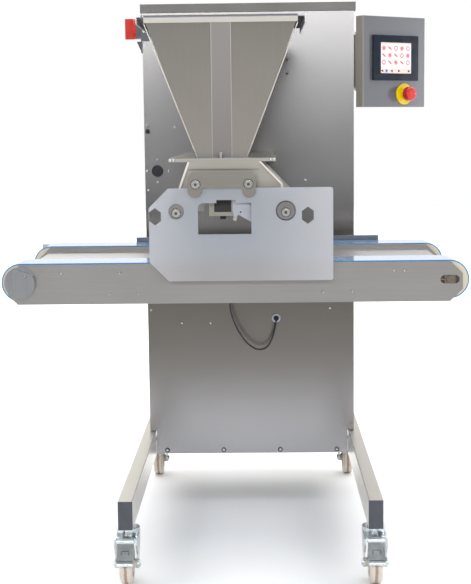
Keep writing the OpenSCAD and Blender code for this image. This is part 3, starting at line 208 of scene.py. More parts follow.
# Each softbox: place, point it faces, width, height, power
LIGHTS = (
    ("strip_softbox", (0.3, -3.6, 1.93), (0.0, 0.2, 1.3), 4.2, 0.4, 68),
    ("side_softbox", (4.0, 0.0, 1.30), (0.4, 0.0, 1.2), 0.3, 0.3, 13),
    ("left_softbox", (-3.4, -1.9, 1.60), (0.0, -0.2, 0.9), 1.6, 1.6, 12),
    ("top_softbox", (0.0, 5.3, 6.0), (0.0, 5.3, 0.0), 14.0, 17.6, 1350),
    ("back_softbox", (-1.2, 3.6, 2.6), (0.0, 0.3, 0.8), 2.4, 2.4, 10),
    ("head_fill", (-0.02, -0.30, 0.815), (-0.02, 0.18, 0.815), 0.36, 0.08, 0.12),
)
for name, spot, target, width, height, watts in LIGHTS:
    lamp = bpy.data.objects.new(name, bpy.data.lights.new(name, "AREA"))
    lamp.data.shape = "RECTANGLE"
    lamp.data.size = width
    lamp.data.size_y = height
    lamp.data.energy = watts
    lamp.location = spot
    lamp.rotation_euler = (Vector(target) - Vector(spot)).to_track_quat("-Z", "Y").to_euler()
    lamp.visible_camera = False
    bpy.context.collection.objects.link(lamp)
ROOM_GLOW, BACKDROP_GLOW = 0.20, 1.0
world = bpy.data.worlds.new("studio")
bpy.context.scene.world = world
world.use_nodes = True
tree = world.node_tree
place = add(tree, "ShaderNodeTexCoord")
way = add(tree, "ShaderNodeSeparateXYZ", {"Vector": place.outputs["Generated"]})
ROOM_EDGE, BACKDROP_EDGE = -0.4, 0.3
glow = add(tree, "ShaderNodeMapRange", {
    "Value": way.outputs["Y"], "From Min": ROOM_EDGE, "From Max": BACKDROP_EDGE,
    "To Min": ROOM_GLOW, "To Max": BACKDROP_GLOW}, interpolation_type="SMOOTHSTEP")
tree.nodes["Background"].inputs["Color"].default_value = srgb("#ffffff")
tree.links.new(glow.outputs["Result"], tree.nodes["Background"].inputs["Strength"])


# Cabinet shell, cap and rear cover: 2 mm stainless sheet, folded, with a ground grain that runs
# level round the cabinet. The cap is welded from the same sheet and is given a darker colour, a painted
# shade.
# Real grit lines are about 0.2 mm apart; these are 1.5 mm apart, so that they show
GRIT_LONG, GRIT_APART, GRIT_DEPTH, SMUDGE_SIZE = 140 * MM, 1.5 * MM, 0.05 * MM, 160 * MM


def brushed_stainless(name, light, dark, grain, roughness, smudge=0.10, smear=0.0):
    """Ground stainless: grit lines along one axis smear the gloss across them, and hands leave smudges."""
    material, tree, output = blank_material(name)
    place = add(tree, "ShaderNodeTexCoord")
    scale = [1 / (GRIT_LONG if axis == grain else GRIT_APART) for axis in "XYZ"]
    along = add(tree, "ShaderNodeMapping", {"Vector": place.outputs["Object"], "Scale": scale})
    lines = add(tree, "ShaderNodeTexNoise", {
        "Vector": along.outputs["Vector"], "Scale": 1.0, "Detail": 4.0, "Roughness": 0.65})
    hands = add(tree, "ShaderNodeTexNoise", {
        "Vector": place.outputs["Object"], "Scale": 1 / SMUDGE_SIZE, "Detail": 2.0, "Roughness": 0.5})
    tone = add(tree, "ShaderNodeMix", {
        0: lines.outputs["Fac"], 6: srgb(dark), 7: srgb(light)}, data_type="RGBA")
    gloss = add(tree, "ShaderNodeMapRange", {
        "Value": hands.outputs["Fac"], "From Min": 0.1, "From Max": 0.9,
        "To Min": roughness - smudge / 2, "To Max": roughness + smudge / 2})
    relief = add(tree, "ShaderNodeBump", {
        "Height": lines.outputs["Fac"], "Strength": 0.22, "Distance": GRIT_DEPTH})
    shader = add(tree, "ShaderNodeBsdfPrincipled", {
        "Base Color": tone.outputs[2], "Metallic": 1.0, "Roughness": gloss.outputs["Result"],
        "Normal": relief.outputs["Normal"]})
    if smear:
        # The grit line's own direction; a slight lean keeps it off the normal of the end faces
        line = {"X": (1.0, 0.05, 0.0), "Y": (0.05, 1.0, 0.0), "Z": (0.0, 0.05, 1.0)}[grain]
        face = add(tree, "ShaderNodeNewGeometry")
        across = add(tree, "ShaderNodeVectorMath", {
            0: face.outputs["Normal"], 1: line}, operation="CROSS_PRODUCT")
        shader.inputs["Anisotropic"].default_value = smear
        tree.links.new(across.outputs["Vector"], shader.inputs["Tangent"])
    tree.links.new(shader.outputs["BSDF"], output.inputs["Surface"])
    return material


def dress(names, material, edge_mm=0.0):
    """Gives CAD nodes their finish and, where the real edge is broken, a small round on the edges."""
    for name in names.split():
        data = nodes[name].data
        data.materials.clear()
        data.materials.append(material)
        if edge_mm:
            edge = nodes[name].modifiers.new("broken_edge", "BEVEL")
            edge.width = edge_mm * MM
            edge.segments = 2
            edge.limit_method = "ANGLE"
            edge.angle_limit = math.radians(40)


def axes_of(material):
    """A finish's node tree, and the X, Y and Z of each point of the piece that wears it."""
    tree = material.node_tree
    place = add(tree, "ShaderNodeTexCoord")
    return tree, add(tree, "ShaderNodeSeparateXYZ", {"Vector": place.outputs["Object"]})


def tint(material, share, colour, blend="MULTIPLY"):
    """Mixes a colour into a finish's base colour by a share from 0 to 1."""
    tree = material.node_tree
    paint = tree.nodes["Principled BSDF"].inputs["Base Color"]
    mix = add(tree, "ShaderNodeMix", {0: share, 6: paint.links[0].from_socket, 7: srgb(colour)},
              data_type="RGBA", blend_type=blend)
    tree.links.new(mix.outputs[2], paint)


# Painted shade and painted reflection, on the front face only: the sheet is darkened and a little warmer
# behind and below the conveyor, a painted shade, and paler at its foot, a painted reflection of the floor
WARM_FROM, WARM_FULL, WARM_FADES, WARM_GONE = 150 * MM, 600 * MM, 690 * MM, 980 * MM
PALE_FROM, PALE_FULL, PALE_SHARE = 420 * MM, 150 * MM, 0.6
FACE_SKIN = 0.4 * MM
cabinet_steel = brushed_stainless("stainless_sheet_ground", "#878685", "#79787a", "X", 0.25, 0.03, 0.5)
tree, spot = axes_of(cabinet_steel)
under = add(tree, "ShaderNodeMapRange", {
    "Value": spot.outputs["Z"], "From Min": WARM_FROM, "From Max": WARM_FULL},
    interpolation_type="SMOOTHSTEP")
fade = add(tree, "ShaderNodeMapRange", {
    "Value": spot.outputs["Z"], "From Min": WARM_GONE, "From Max": WARM_FADES},
    interpolation_type="SMOOTHSTEP")
front = add(tree, "ShaderNodeMath", {
    0: spot.outputs["Y"], 1: FACE_Y + FACE_SKIN}, operation="LESS_THAN")
warm = add(tree, "ShaderNodeMath", {
    0: under.outputs["Result"], 1: fade.outputs["Result"]}, operation="MULTIPLY")
warm = add(tree, "ShaderNodeMath", {
    0: warm.outputs["Value"], 1: front.outputs["Value"]}, operation="MULTIPLY")
# Painted shade behind and below the conveyor
tint(cabinet_steel, warm.outputs["Value"], "#d7d0c6")
# Painted reflection of the floor: the foot of the face is paler
pale = add(tree, "ShaderNodeMapRange", {
    "Value": spot.outputs["Z"], "From Min": PALE_FROM, "From Max": PALE_FULL, "To Max": PALE_SHARE},
    interpolation_type="SMOOTHSTEP")
pale = add(tree, "ShaderNodeMath", {
    0: pale.outputs["Result"], 1: front.outputs["Value"]}, operation="MULTIPLY")
tint(cabinet_steel, pale.outputs["Value"], "#b9b9bd", "MIX")
dress("cabinet_shell rear_cover panel_bracket", cabinet_steel, 0.5)
# The cap: the cabinet's ground sheet in a darker colour, a painted shade
cap_steel = brushed_stainless("stainless_cap_painted_shade", "#5f5e5c", "#4f4e4d", "X", 0.38)
dress("top_cap", cap_steel, 0.8)
bright_steel = brushed_stainless("stainless_turned", "#d9d7d3", "#c4c2be", "Y", 0.24)
# The studs stand further out than the screw heads; the two at the right of the hopper are darkened, a
# painted shade, and the ones at the left keep the bright steel
SCREW_REACH = 6 * MM
fastener_steel = brushed_stainless("stainless_fastener_turned", "#d9d7d3", "#c4c2be", "Y", 0.22, 0.04)
tree, spot = axes_of(fastener_steel)
stud = add(tree, "ShaderNodeMath", {
    0: spot.outputs["Y"], 1: FACE_Y - SCREW_REACH}, operation="LESS_THAN")
right = add(tree, "ShaderNodeMath", {0: spot.outputs["X"], 1: 0.0}, operation="GREATER_THAN")
dull_stud = add(tree, "ShaderNodeMath", {
    0: stud.outputs["Value"], 1: right.outputs["Value"]}, operation="MULTIPLY")
tint(fastener_steel, dull_stud.outputs["Value"], "#57524a")
dress("cabinet_fasteners", fastener_steel)
black_rubber = moulded("black_rubber_moulded", "#15171a", "#202226", 0.55, ior=1.52)
dress("rubber_plugs cable_gland", black_rubber, 0.4)

# Screw sockets: each dome screw on the cabinet's face has a sunk hexagon for its key, dark with painted
# shade.
# A screw is given by its place from the cabinet's middle, its height and its head's rise, in mm.
CAB_X = (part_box("cabinet_shell")[0][0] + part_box("cabinet_shell")[1][0]) / 2
SOCKET_R, SOCKET_SINK, LIP_RISE, CROWN_SINK = 1.9 * MM, 0.1 * MM, 0.12 * MM, 0.25 * MM
FOOT_SCREWS = [(x, 153.5, 4.0) for x in (-250, -83.3, 83.3, 250)]
FACE_SCREWS = [(x, z, 3.0) for x, z in (
    (-290, 572), (230, 573), (-201, 533), (-117, 532), (160, 945), (-291, 921),
    (-264, 1008), (-264, 944), (-232, 976), (-294, 976))]


def socket_mesh(name, places, radius):
    """Hexagon sockets that face the front: a rim and a dark floor just under it, at each place."""
    mesh = bmesh.new()
    for x, y, z in places:
        turns = [math.radians(a) for a in range(0, 360, 60)]
        corners = [Vector((math.cos(a), 0, math.sin(a))) for a in turns]
        centre = Vector((x, y, z))
        rim = [mesh.verts.new(centre + radius * c) for c in corners]
        lip = [mesh.verts.new(centre + radius * 0.86 * c - Vector((0, LIP_RISE, 0))) for c in corners]
        bed = [mesh.verts.new(centre + radius * 0.72 * c + Vector((0, SOCKET_SINK, 0))) for c in corners]
        for a, b in ((rim, lip), (lip, bed)):
            for k in range(6):
                mesh.faces.new((a[k], b[k], b[(k + 1) % 6], a[(k + 1) % 6]))
        mesh.faces.new(bed)
    data = bpy.data.meshes.new(name)
    mesh.to_mesh(data)
    mesh.free()
    return data


socket_shadow = moulded("painted_shade_in_sockets", "#2a2a2c", "#38383a", 0.5)
face_sockets = [(CAB_X + x * MM, FACE_Y - rise * MM + CROWN_SINK, z * MM)
                for x, z, rise in FOOT_SCREWS + FACE_SCREWS]
new_piece("cabinet_screw_sockets", socket_mesh("cabinet_screw_sockets", face_sockets, SOCKET_R),
          socket_shadow, "frame")


# Washers: black rubber rings under the four dome screws along the foot of the face, a painted shadow
# round each head.
TURNED_SIDES = 24


def turned_mesh(name, places, profile, facing, capped=False):
    """Turned pieces: a profile of (radius, rise) in mm swept round an axis that points the given way."""
    sides = TURNED_SIDES
    mesh = bmesh.new()
    out = Vector(facing)
    side = out.orthogonal().normalized()
    cross = out.cross(side)
    for spot in places:
        rings = [[mesh.verts.new(Vector(spot) + MM * (out * rise + radius * (
            side * math.cos(2 * math.pi * k / sides) + cross * math.sin(2 * math.pi * k / sides))))
            for k in range(sides)] for radius, rise in profile]
        for a, b in zip(rings, rings[1:]):
            for k in range(sides):
                mesh.faces.new((a[k], a[(k + 1) % sides], b[(k + 1) % sides], b[k])).smooth = True
        if capped:
            mesh.faces.new(rings[-1])
    data = bpy.data.meshes.new(name)
    mesh.to_mesh(data)
    mesh.free()
    return data


# The rings under the foot screws, a painted shadow
WASHER_PROFILE = ((7.2, 0), (7.2, 0.5), (6.6, 0.9), (4.6, 0.9))
new_piece("foot_screw_shadow_washers", turned_mesh("foot_screw_shadow_washers", [
    (CAB_X + x * MM, FACE_Y, z * MM) for x, z, rise in FOOT_SCREWS], WASHER_PROFILE, (0, -1, 0)),
    black_rubber, "frame")

# Rear cover: hoods pressed out of the stainless sheet over the air slots, and dome screws down both
# edges that hold the cover to the shell.
COVER_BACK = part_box("rear_cover")[1][1]
LOUVRES, LOUVRE_FIRST, LOUVRE_PITCH = 8, 432, 24
LOUVRE_HALF, LOUVRE_DEEP, LOUVRE_TALL, LOUVRE_TAPER = 94 * MM, 3.9 * MM, 15 * MM, 3 * MM
HOOD_SHEET = 0.8 * MM
mesh = bmesh.new()
for i in range(LOUVRES):
    top = (LOUVRE_FIRST + LOUVRE_PITCH * i) * MM
    arc = [(COVER_BACK + LOUVRE_DEEP * math.sin(math.radians(a)) ** 0.8,
            top - LOUVRE_TALL * (1 - math.cos(math.radians(a)))) for a in range(0, 91, 15)]
    rows = [[mesh.verts.new((CAB_X + side * (LOUVRE_HALF - LOUVRE_TAPER * t), y, z))
             for side, t in ((-1, 0), (-1, 1), (1, 1), (1, 0))] for y, z in arc]
    for a, b in zip(rows, rows[1:]):
        for k in range(3):
            mesh.faces.new((a[k], b[k], b[k + 1], a[k + 1])).smooth = True
    for k in (0, 3):
        foot = mesh.verts.new((rows[-1][k].co.x, COVER_BACK, rows[-1][k].co.z))
        fan = [row[k] for row in rows]
        for a, b in zip(fan, fan[1:]):
            mesh.faces.new((foot, a, b))
data = bpy.data.meshes.new("louvre_hoods")
mesh.to_mesh(data)
mesh.free()
hoods = new_piece("louvre_hoods", data, cabinet_steel, "frame")
wall = hoods.modifiers.new("sheet_thickness", "SOLIDIFY")
wall.thickness = HOOD_SHEET

COVER_SCREW_OFF, COVER_SCREW_HEIGHTS = 284 * MM, (240, 470, 700, 930, 1160, 1395)
cover_screws = [(CAB_X + side * COVER_SCREW_OFF, COVER_BACK, z * MM)
                for side in (-1, 1) for z in COVER_SCREW_HEIGHTS]
DOME_PROFILE = ((5, 0), (4.85, 1.35), (4, 2.4), (2.5, 3), (2.3, 1.6))
new_piece("rear_cover_screws", turned_mesh(
    "rear_cover_screws", cover_screws, DOME_PROFILE, (0, 1, 0), True),
    bright_steel, "frame")

# Grommet: a pale ring moulded in soft PVC and snapped into the cabinet's face, round the cable's
# black sleeve.
GROMMET_AT = (106 * MM, FACE_Y, 545 * MM)
GROMMET_PROFILE = ((13.2, 0), (13.2, 2.4), (12.4, 3.2), (8.2, 3.3), (7.6, 2.8))
new_piece("grommet_ring", turned_mesh("grommet_ring", [GROMMET_AT], GROMMET_PROFILE, (0, -1, 0)),
    moulded("pale_pvc_moulded", "#c9ced6", "#b9bec6", 0.4), "frame")

# Base: two stainless box-section legs with cross beams between them, welded, and moulded grey caps
# pressed into the tube ends. The top faces are darkened, a painted shade, with a painted shadow line
# along their inner corner.
leg_steel = brushed_stainless("stainless_tube_ground", "#eeece8", "#dcd9d4", "Y", 0.34)
BASE_LOW, BASE_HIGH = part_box("base_frame")
LEG_W, TOP_SKIN, CORNER_LINE = 35 * MM, 0.4 * MM, 3 * MM
tree, spot = axes_of(leg_steel)
# Painted shade on everything above the legs' top faces
top = add(tree, "ShaderNodeMath", {
    0: spot.outputs["Z"], 1: BASE_HIGH[2] - TOP_SKIN}, operation="GREATER_THAN")
tint(leg_steel, top.outputs["Value"], "#b4b1ab")
# Painted shadow line: the inner 3 mm of each top face, and all above the tops within the legs' span
sideways = add(tree, "ShaderNodeMath", {0: spot.outputs["X"], 1: CAB_X}, operation="SUBTRACT")
sideways = add(tree, "ShaderNodeMath", {0: sideways.outputs["Value"]}, operation="ABSOLUTE")
inner = add(tree, "ShaderNodeMath", {
    0: sideways.outputs["Value"], 1: BASE_HIGH[0] - LEG_W + CORNER_LINE - CAB_X},
    operation="LESS_THAN")
inner = add(tree, "ShaderNodeMath", {
    0: inner.outputs["Value"], 1: top.outputs["Value"]}, operation="MULTIPLY")
tint(leg_steel, inner.outputs["Value"], "#7d786f", "MIX")
dress("base_frame", leg_steel, 1.5)
dress("leg_caps", moulded("grey_polyethylene_moulded", "#484a53", "#3d3f48", 0.5), 1.0)

# Welds: beads of stainless filler round the ends of the cross beams, with a ripple for each step of
# the torch.
BEAD_STEP, BEAD_SIDES, BEAD_END = 2 * MM, 8, 0.6


def bead_mesh(name, lines, radius, ripple=0.82):
    """Weld beads along straight lines, rippled every 4 mm, or smooth where ground."""
    beads = bmesh.new()
    for start, end in lines:
        a, b = Vector(start), Vector(end)
        steps = max(4, int((b - a).length / BEAD_STEP))
        path = [a.lerp(b, i / steps) for i in range(steps + 1)]
        swell = [radius * (1.0 if i % 2 else ripple) * (BEAD_END if i in (0, steps) else 1)
                 for i in range(steps + 1)]
        beads.from_mesh(tube_mesh(name + "_line", path, swell, BEAD_SIDES))
    data = bpy.data.meshes.new(name)
    beads.to_mesh(data)
    beads.free()
    return data


BEAM_W, BEAM_H, BEAM_FOOT = 40 * MM, 40 * MM, 144 * MM
FRONT_BEAM, REAR_BEAM, BEAD_R = FACE_Y + 2 * MM, BASE_HIGH[1] - 100 * MM, 2 * MM
beam_welds = []
for x in (BASE_LOW[0] + LEG_W, BASE_HIGH[0] - LEG_W):
    for near in (FRONT_BEAM, REAR_BEAM):
        far = near + BEAM_W
        beam_welds += [((x, near, BEAM_FOOT), (x, far, BEAM_FOOT)),
                       ((x, near, BEAM_FOOT + BEAM_H), (x, far, BEAM_FOOT + BEAM_H)),
                       ((x, far, BEAM_FOOT), (x, far, BEAM_FOOT + BEAM_H))]
weld_steel = brushed_stainless("stainless_weld_filler", "#d6d2cc", "#a9a29a", "Z", 0.3)
new_piece("beam_welds", bead_mesh("beam_welds", beam_welds, BEAD_R), weld_steel, "frame")


# Castors: pressed and zinc plated forks and brake pedals, with solid cream nylon wheels on a plain
# axle. Plating leaves a blue-grey, slightly cloudy shine.
CRYSTAL_SIZE, CLOUDING_SIZE = 4 * MM, 18 * MM


def zinc_plate(name, light, dark):
    """Bright zinc plate: small crystals, a bluish tint and dull patches."""
    material, tree, output = blank_material(name)
    place = add(tree, "ShaderNodeTexCoord")
    crystal = add(tree, "ShaderNodeTexVoronoi", {
        "Vector": place.outputs["Object"], "Scale": 1 / CRYSTAL_SIZE})
    cloud = add(tree, "ShaderNodeTexNoise", {
        "Vector": place.outputs["Object"], "Scale": 1 / CLOUDING_SIZE, "Detail": 4.0})
    share = add(tree, "ShaderNodeMath", {
        0: crystal.outputs["Distance"], 1: cloud.outputs["Fac"]}, operation="MULTIPLY")
    tone = add(tree, "ShaderNodeMix", {
        0: share.outputs["Value"], 6: srgb(light), 7: srgb(dark)}, data_type="RGBA")
    gloss = add(tree, "ShaderNodeMapRange", {
        "Value": cloud.outputs["Fac"], "To Min": 0.14, "To Max": 0.32})
    shader = add(tree, "ShaderNodeBsdfPrincipled", {
        "Base Color": tone.outputs[2], "Metallic": 1.0, "Roughness": gloss.outputs["Result"]})
    tree.links.new(shader.outputs["BSDF"], output.inputs["Surface"])
    return material


CORNERS = ("front_left", "front_right", "rear_left", "rear_right")
zinc = zinc_plate("zinc_plated_steel", "#d0d6d9", "#96a2a7")
dress("castor_mounts", zinc, 0.6)
dress(" ".join("castor_fork_" + c for c in CORNERS), zinc, 0.8)
pedal_zinc = zinc_plate("zinc_plated_dull", "#dbe1e4", "#bcc6ca")
dress("brake_pedal_left brake_pedal_right", pedal_zinc, 0.6)

# The floor's dirt marks the middle of each tread
DIRT_SPECK, DIRT_REACH, DIRT_SHARE = 5 * MM, 7 * MM, 0.75
nylon = moulded("cream_nylon_moulded", "#d9d2c9", "#cbc2b7", 0.4, ior=1.53, grain_mm=2.0)
WHEEL_LOW, WHEEL_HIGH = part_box("castor_wheel_front_right")
SWIVEL_OFF = (WHEEL_LOW[0] + WHEEL_HIGH[0]) / 2 - CAB_X
tree, spot = axes_of(nylon)
place = add(tree, "ShaderNodeTexCoord")
from_middle = add(tree, "ShaderNodeMath", {0: spot.outputs["X"], 1: CAB_X}, operation="SUBTRACT")
from_middle = add(tree, "ShaderNodeMath", {0: from_middle.outputs["Value"]}, operation="ABSOLUTE")
off_tread = add(tree, "ShaderNodeMath", {
    0: from_middle.outputs["Value"], 1: SWIVEL_OFF}, operation="SUBTRACT")
off_tread = add(tree, "ShaderNodeMath", {0: off_tread.outputs["Value"]}, operation="ABSOLUTE")
specks = add(tree, "ShaderNodeTexNoise", {
    "Vector": place.outputs["Object"], "Scale": 1 / DIRT_SPECK, "Detail": 3.0})
reach = add(tree, "ShaderNodeMath", {0: specks.outputs["Fac"], 1: DIRT_REACH}, operation="MULTIPLY")
dirt = add(tree, "ShaderNodeMath", {
    0: off_tread.outputs["Value"], 1: reach.outputs["Value"]}, operation="LESS_THAN")
dirt = add(tree, "ShaderNodeMath", {0: dirt.outputs["Value"], 1: DIRT_SHARE}, operation="MULTIPLY")
tint(nylon, dirt.outputs["Value"], "#b08a70")
dress(" ".join("castor_wheel_" + c for c in CORNERS), nylon)


# Axle nuts: zinc-plated hexagon nuts and washers on both ends of each axle, drawn up against the fork,
# and grey nylon seals pressed into the wheel hubs.
AXLE_WASHER_R, AXLE_NUT_R, AXLE_NUT_THICK = 11, 8.5, 5
FORK_OUT, HUB_OUT = 28 * MM, 16.9 * MM
HUB_SEAL_PROFILE = ((13, 0), (12.4, 0.3), (9, 0.3), (8.4, 0))


def nut_mesh(name, spot, facing, washer_r, nut_r, thick):
    """Washer and chamfered hexagon nut in mm, standing out from a face."""
    mesh = bmesh.new()
    out = Vector(facing)
    side = out.orthogonal().normalized()
    cross = out.cross(side)
    rings = []
    for radius, rise, hexagon in (
            (washer_r, 0.0, False), (washer_r, 0.3, False), (nut_r * 0.92, 0.3, False),
            (nut_r, 0.32, True), (nut_r, 0.9, True), (nut_r * 0.82, 1.0, False)):
        ring = []
        for k in range(24):
            angle = math.radians(15 * k)
            r = radius * (0.87 / math.cos(math.radians((15 * k) % 60 - 30)) if hexagon else 1.0)
            ring.append(mesh.verts.new(Vector(spot) + MM * (
                out * thick * rise + r * (side * math.cos(angle) + cross * math.sin(angle)))))
        rings.append(ring)
    for a, b in zip(rings, rings[1:]):
        for k in range(24):
            mesh.faces.new((a[k], a[(k + 1) % 24], b[(k + 1) % 24], b[k]))
    mesh.faces.new(rings[-1])
    data = bpy.data.meshes.new(name)
    mesh.to_mesh(data)
    mesh.free()
    return data


hub_seal = moulded("grey_nylon_seal", "#7f8082", "#6c6d70", 0.45)
for corner in CORNERS:
    low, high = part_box("castor_wheel_" + corner)
    axle = (low + high) / 2
    for side, tag in ((-1, "left"), (1, "right")):
        way = (side, 0, 0)
        name = "axle_nut_%s_%s" % (corner, tag)
        new_piece(name, nut_mesh(name, axle + Vector((side * FORK_OUT, 0, 0)), way,
                                 AXLE_WASHER_R, AXLE_NUT_R, AXLE_NUT_THICK),
                  zinc, "castor_fork_" + corner)
        name = "hub_seal_%s_%s" % (corner, tag)
        new_piece(name, turned_mesh(name, [axle + Vector((side * HUB_OUT, 0, 0))], HUB_SEAL_PROFILE, way),
                  hub_seal, "castor_wheel_" + corner)

# Brake pedals: a window and a line across the tread, pressed into the plated sheet, and dark with a
# painted shade. Places are shares of the way down the tread, and mm from its middle.
WINDOW_TOP, WINDOW_FOOT, TREAD_LINE = 0.42, 0.6, 0.86
WINDOW_HALF, LINE_HALF, PRESSING_R, TREAD_RISE = 9, 18, 0.9 * MM, 2 * MM
TOP_IN, TIP_IN = 5.5 * MM, 4 * MM
# The pressed lines are dark with a painted shade
pedal_dirt = moulded("painted_shade_in_pressed_lines", "#3c4347", "#2f3538", 0.6)
for side in ("left", "right"):
    low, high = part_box("brake_pedal_" + side)
    top = Vector(((low.x + high.x) / 2, high.y - TOP_IN, high.z - TOP_IN))
    tip = Vector((top.x, low.y + TIP_IN, low.z + TIP_IN))
    run = (tip - top).normalized()
    out = Vector((0, run.z, -run.y))
    if out.y > 0:
        out = -out
    spots = {}
    for t in (WINDOW_TOP, WINDOW_FOOT, TREAD_LINE):
        for x in (-LINE_HALF, -WINDOW_HALF, WINDOW_HALF, LINE_HALF):
            spots[x, t] = top.lerp(tip, t) + out * TREAD_RISE + Vector((x * MM, 0, 0))
    lines = [(spots[-WINDOW_HALF, WINDOW_TOP], spots[WINDOW_HALF, WINDOW_TOP]),
             (spots[-WINDOW_HALF, WINDOW_TOP], spots[-WINDOW_HALF, WINDOW_FOOT]),
             (spots[WINDOW_HALF, WINDOW_TOP], spots[WINDOW_HALF, WINDOW_FOOT]),
             (spots[-LINE_HALF, TREAD_LINE], spots[LINE_HALF, TREAD_LINE])]
    name = "pedal_pressings_" + side
    new_piece(name, bead_mesh(name, lines, PRESSING_R, 1.0),
              pedal_dirt, "brake_pedal_" + side)

# Head: a steel base plate held out from the cabinet, with the roller housing under it. The plates are
# cut and ground stainless, with a painted highlight on the housing's cut edges; the die rails are machined
# aluminium.
SHEET_EDGE, EDGE_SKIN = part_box("head_housing")[0][1], 1 * MM
head_steel = brushed_stainless("stainless_plate_ground", "#a5a29b", "#8e8b84", "X", 0.38)
tree, spot = axes_of(head_steel)
# Painted highlight: the housing's cut edges, the first 1 mm of the sheet at its front, are lighter
edge = add(tree, "ShaderNodeMath", {
    0: spot.outputs["Y"], 1: SHEET_EDGE + EDGE_SKIN}, operation="LESS_THAN")
tint(head_steel, edge.outputs["Value"], "#d3cfc7", "MIX")
dress("head_plate head_housing", head_steel, 0.6)
dress("clamp_bracket", brushed_stainless("stainless_bracket_ground", "#84817c", "#74716b", "X", 0.40), 0.8)
dress("feed_roller_left feed_roller_right feed_gear_left feed_gear_right cutting_wire", bright_steel)
# The round discs behind the two lower bolts lie back behind the guard's face and are a shade darker than
# the bolts, a painted shade
GUARD_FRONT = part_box("guard_plate")[0][1]
DISC_FACE, DISC_SKIN, DISC_TOP = GUARD_FRONT + 3 * MM, 1 * MM, 1000 * MM
bolt_steel = brushed_stainless("stainless_bolt_turned", "#dedcd8", "#c9c7c3", "Y", 0.22)
tree, spot = axes_of(bolt_steel)
behind = add(tree, "ShaderNodeMath", {
    0: spot.outputs["Y"], 1: DISC_FACE - DISC_SKIN}, operation="GREATER_THAN")
low = add(tree, "ShaderNodeMath", {0: spot.outputs["Z"], 1: DISC_TOP}, operation="LESS_THAN")
disc = add(tree, "ShaderNodeMath", {
    0: behind.outputs["Value"], 1: low.outputs["Value"]}, operation="MULTIPLY")
tint(bolt_steel, disc.outputs["Value"], "#cfced2")
dress("head_bolts", bolt_steel, 0.3)
HEAD_X = (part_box("hopper")[0][0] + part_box("hopper")[1][0]) / 2
BRACKET_FACE, BRACKET_BOLT_Z, BRACKET_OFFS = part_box("clamp_bracket")[0][1], 967 * MM, (-61.5, 61.5)
BOSS_Z, BOSS_OFFS = 900 * MM, (-108, 148)
HEAD_BOLTS = [(HEAD_X + x * MM, BRACKET_FACE, BRACKET_BOLT_Z) for x in BRACKET_OFFS]
HEAD_BOLTS += [(HEAD_X + x * MM, DISC_FACE, BOSS_Z) for x in BOSS_OFFS]
# Black rubber rings round the four head bolts, a painted shadow round each head
SEAL_PROFILE = ((11.6, 0), (11.6, 0.4), (11.2, 0.7), (10.2, 0.7), (10.2, 0))
new_piece("bolt_shadow_rings", turned_mesh("bolt_shadow_rings", HEAD_BOLTS, SEAL_PROFILE, (0, -1, 0)),
          black_rubber, "frame")
# Sockets of the head bolts, dark with the same painted shade
SOCKET_RISE, BOLT_SOCKET_R = 8.3 * MM, 3.6 * MM
bolt_sockets = [(x, y - SOCKET_RISE, z) for x, y, z in HEAD_BOLTS]
new_piece("bolt_sockets", socket_mesh("bolt_sockets", bolt_sockets, BOLT_SOCKET_R),
          socket_shadow, "frame")
dress("roller_bushes", brushed_stainless("bronze_turned", "#c79a5c", "#a67c44", "Y", 0.35))
dress("die_holder", brushed_stainless("aluminium_machined", "#a5a29a", "#949188", "Y", 0.32), 0.4)
dress("nozzle_bar", moulded("black_acetal_machined", "#0e0f11", "#17181b", 0.4), 0.4)
# The cutter arms are white acetal, given a grey colour, a painted shade behind the guard
dress("cutter_arms", moulded("white_acetal_in_painted_shade", "#9fa2aa", "#9497a0", 0.38), 0.6)

# Guard: a 10 mm plate of frosted polycarbonate, routed to shape. Light goes into it; the pieces behind it
# are given as a painted shadow, a darker middle with lighter sides, and the conveyor below as a painted
# reflection, a warmer band along its foot.
FROST_SIZE, FROST_DEPTH, HAZE_SIZE = 0.8 * MM, 0.03 * MM, 90 * MM
GUARD_X, CLEAR_FROM, CLEAR_FULL = HEAD_X + 15 * MM, 60 * MM, 240 * MM
DULL_FROM, DULL_FULL, DULL_SHARE = 830 * MM, 760 * MM, 0.8
material, tree, output = blank_material("frosted_polycarbonate_routed")
place = add(tree, "ShaderNodeTexCoord")
frost = add(tree, "ShaderNodeTexNoise", {
    "Vector": place.outputs["Object"], "Scale": 1 / FROST_SIZE, "Detail": 2.0})
haze = add(tree, "ShaderNodeTexNoise", {
    "Vector": place.outputs["Object"], "Scale": 1 / HAZE_SIZE, "Detail": 4.0})
spot = add(tree, "ShaderNodeSeparateXYZ", {"Vector": place.outputs["Object"]})
sideways = add(tree, "ShaderNodeMath", {0: spot.outputs["X"], 1: GUARD_X}, operation="SUBTRACT")
sideways = add(tree, "ShaderNodeMath", {0: sideways.outputs["Value"]}, operation="ABSOLUTE")
# Painted shadow: the middle, over the housing and arms, stays darker and the sides are lighter
clear = add(tree, "ShaderNodeMapRange", {
    "Value": sideways.outputs["Value"], "From Min": CLEAR_FROM, "From Max": CLEAR_FULL})
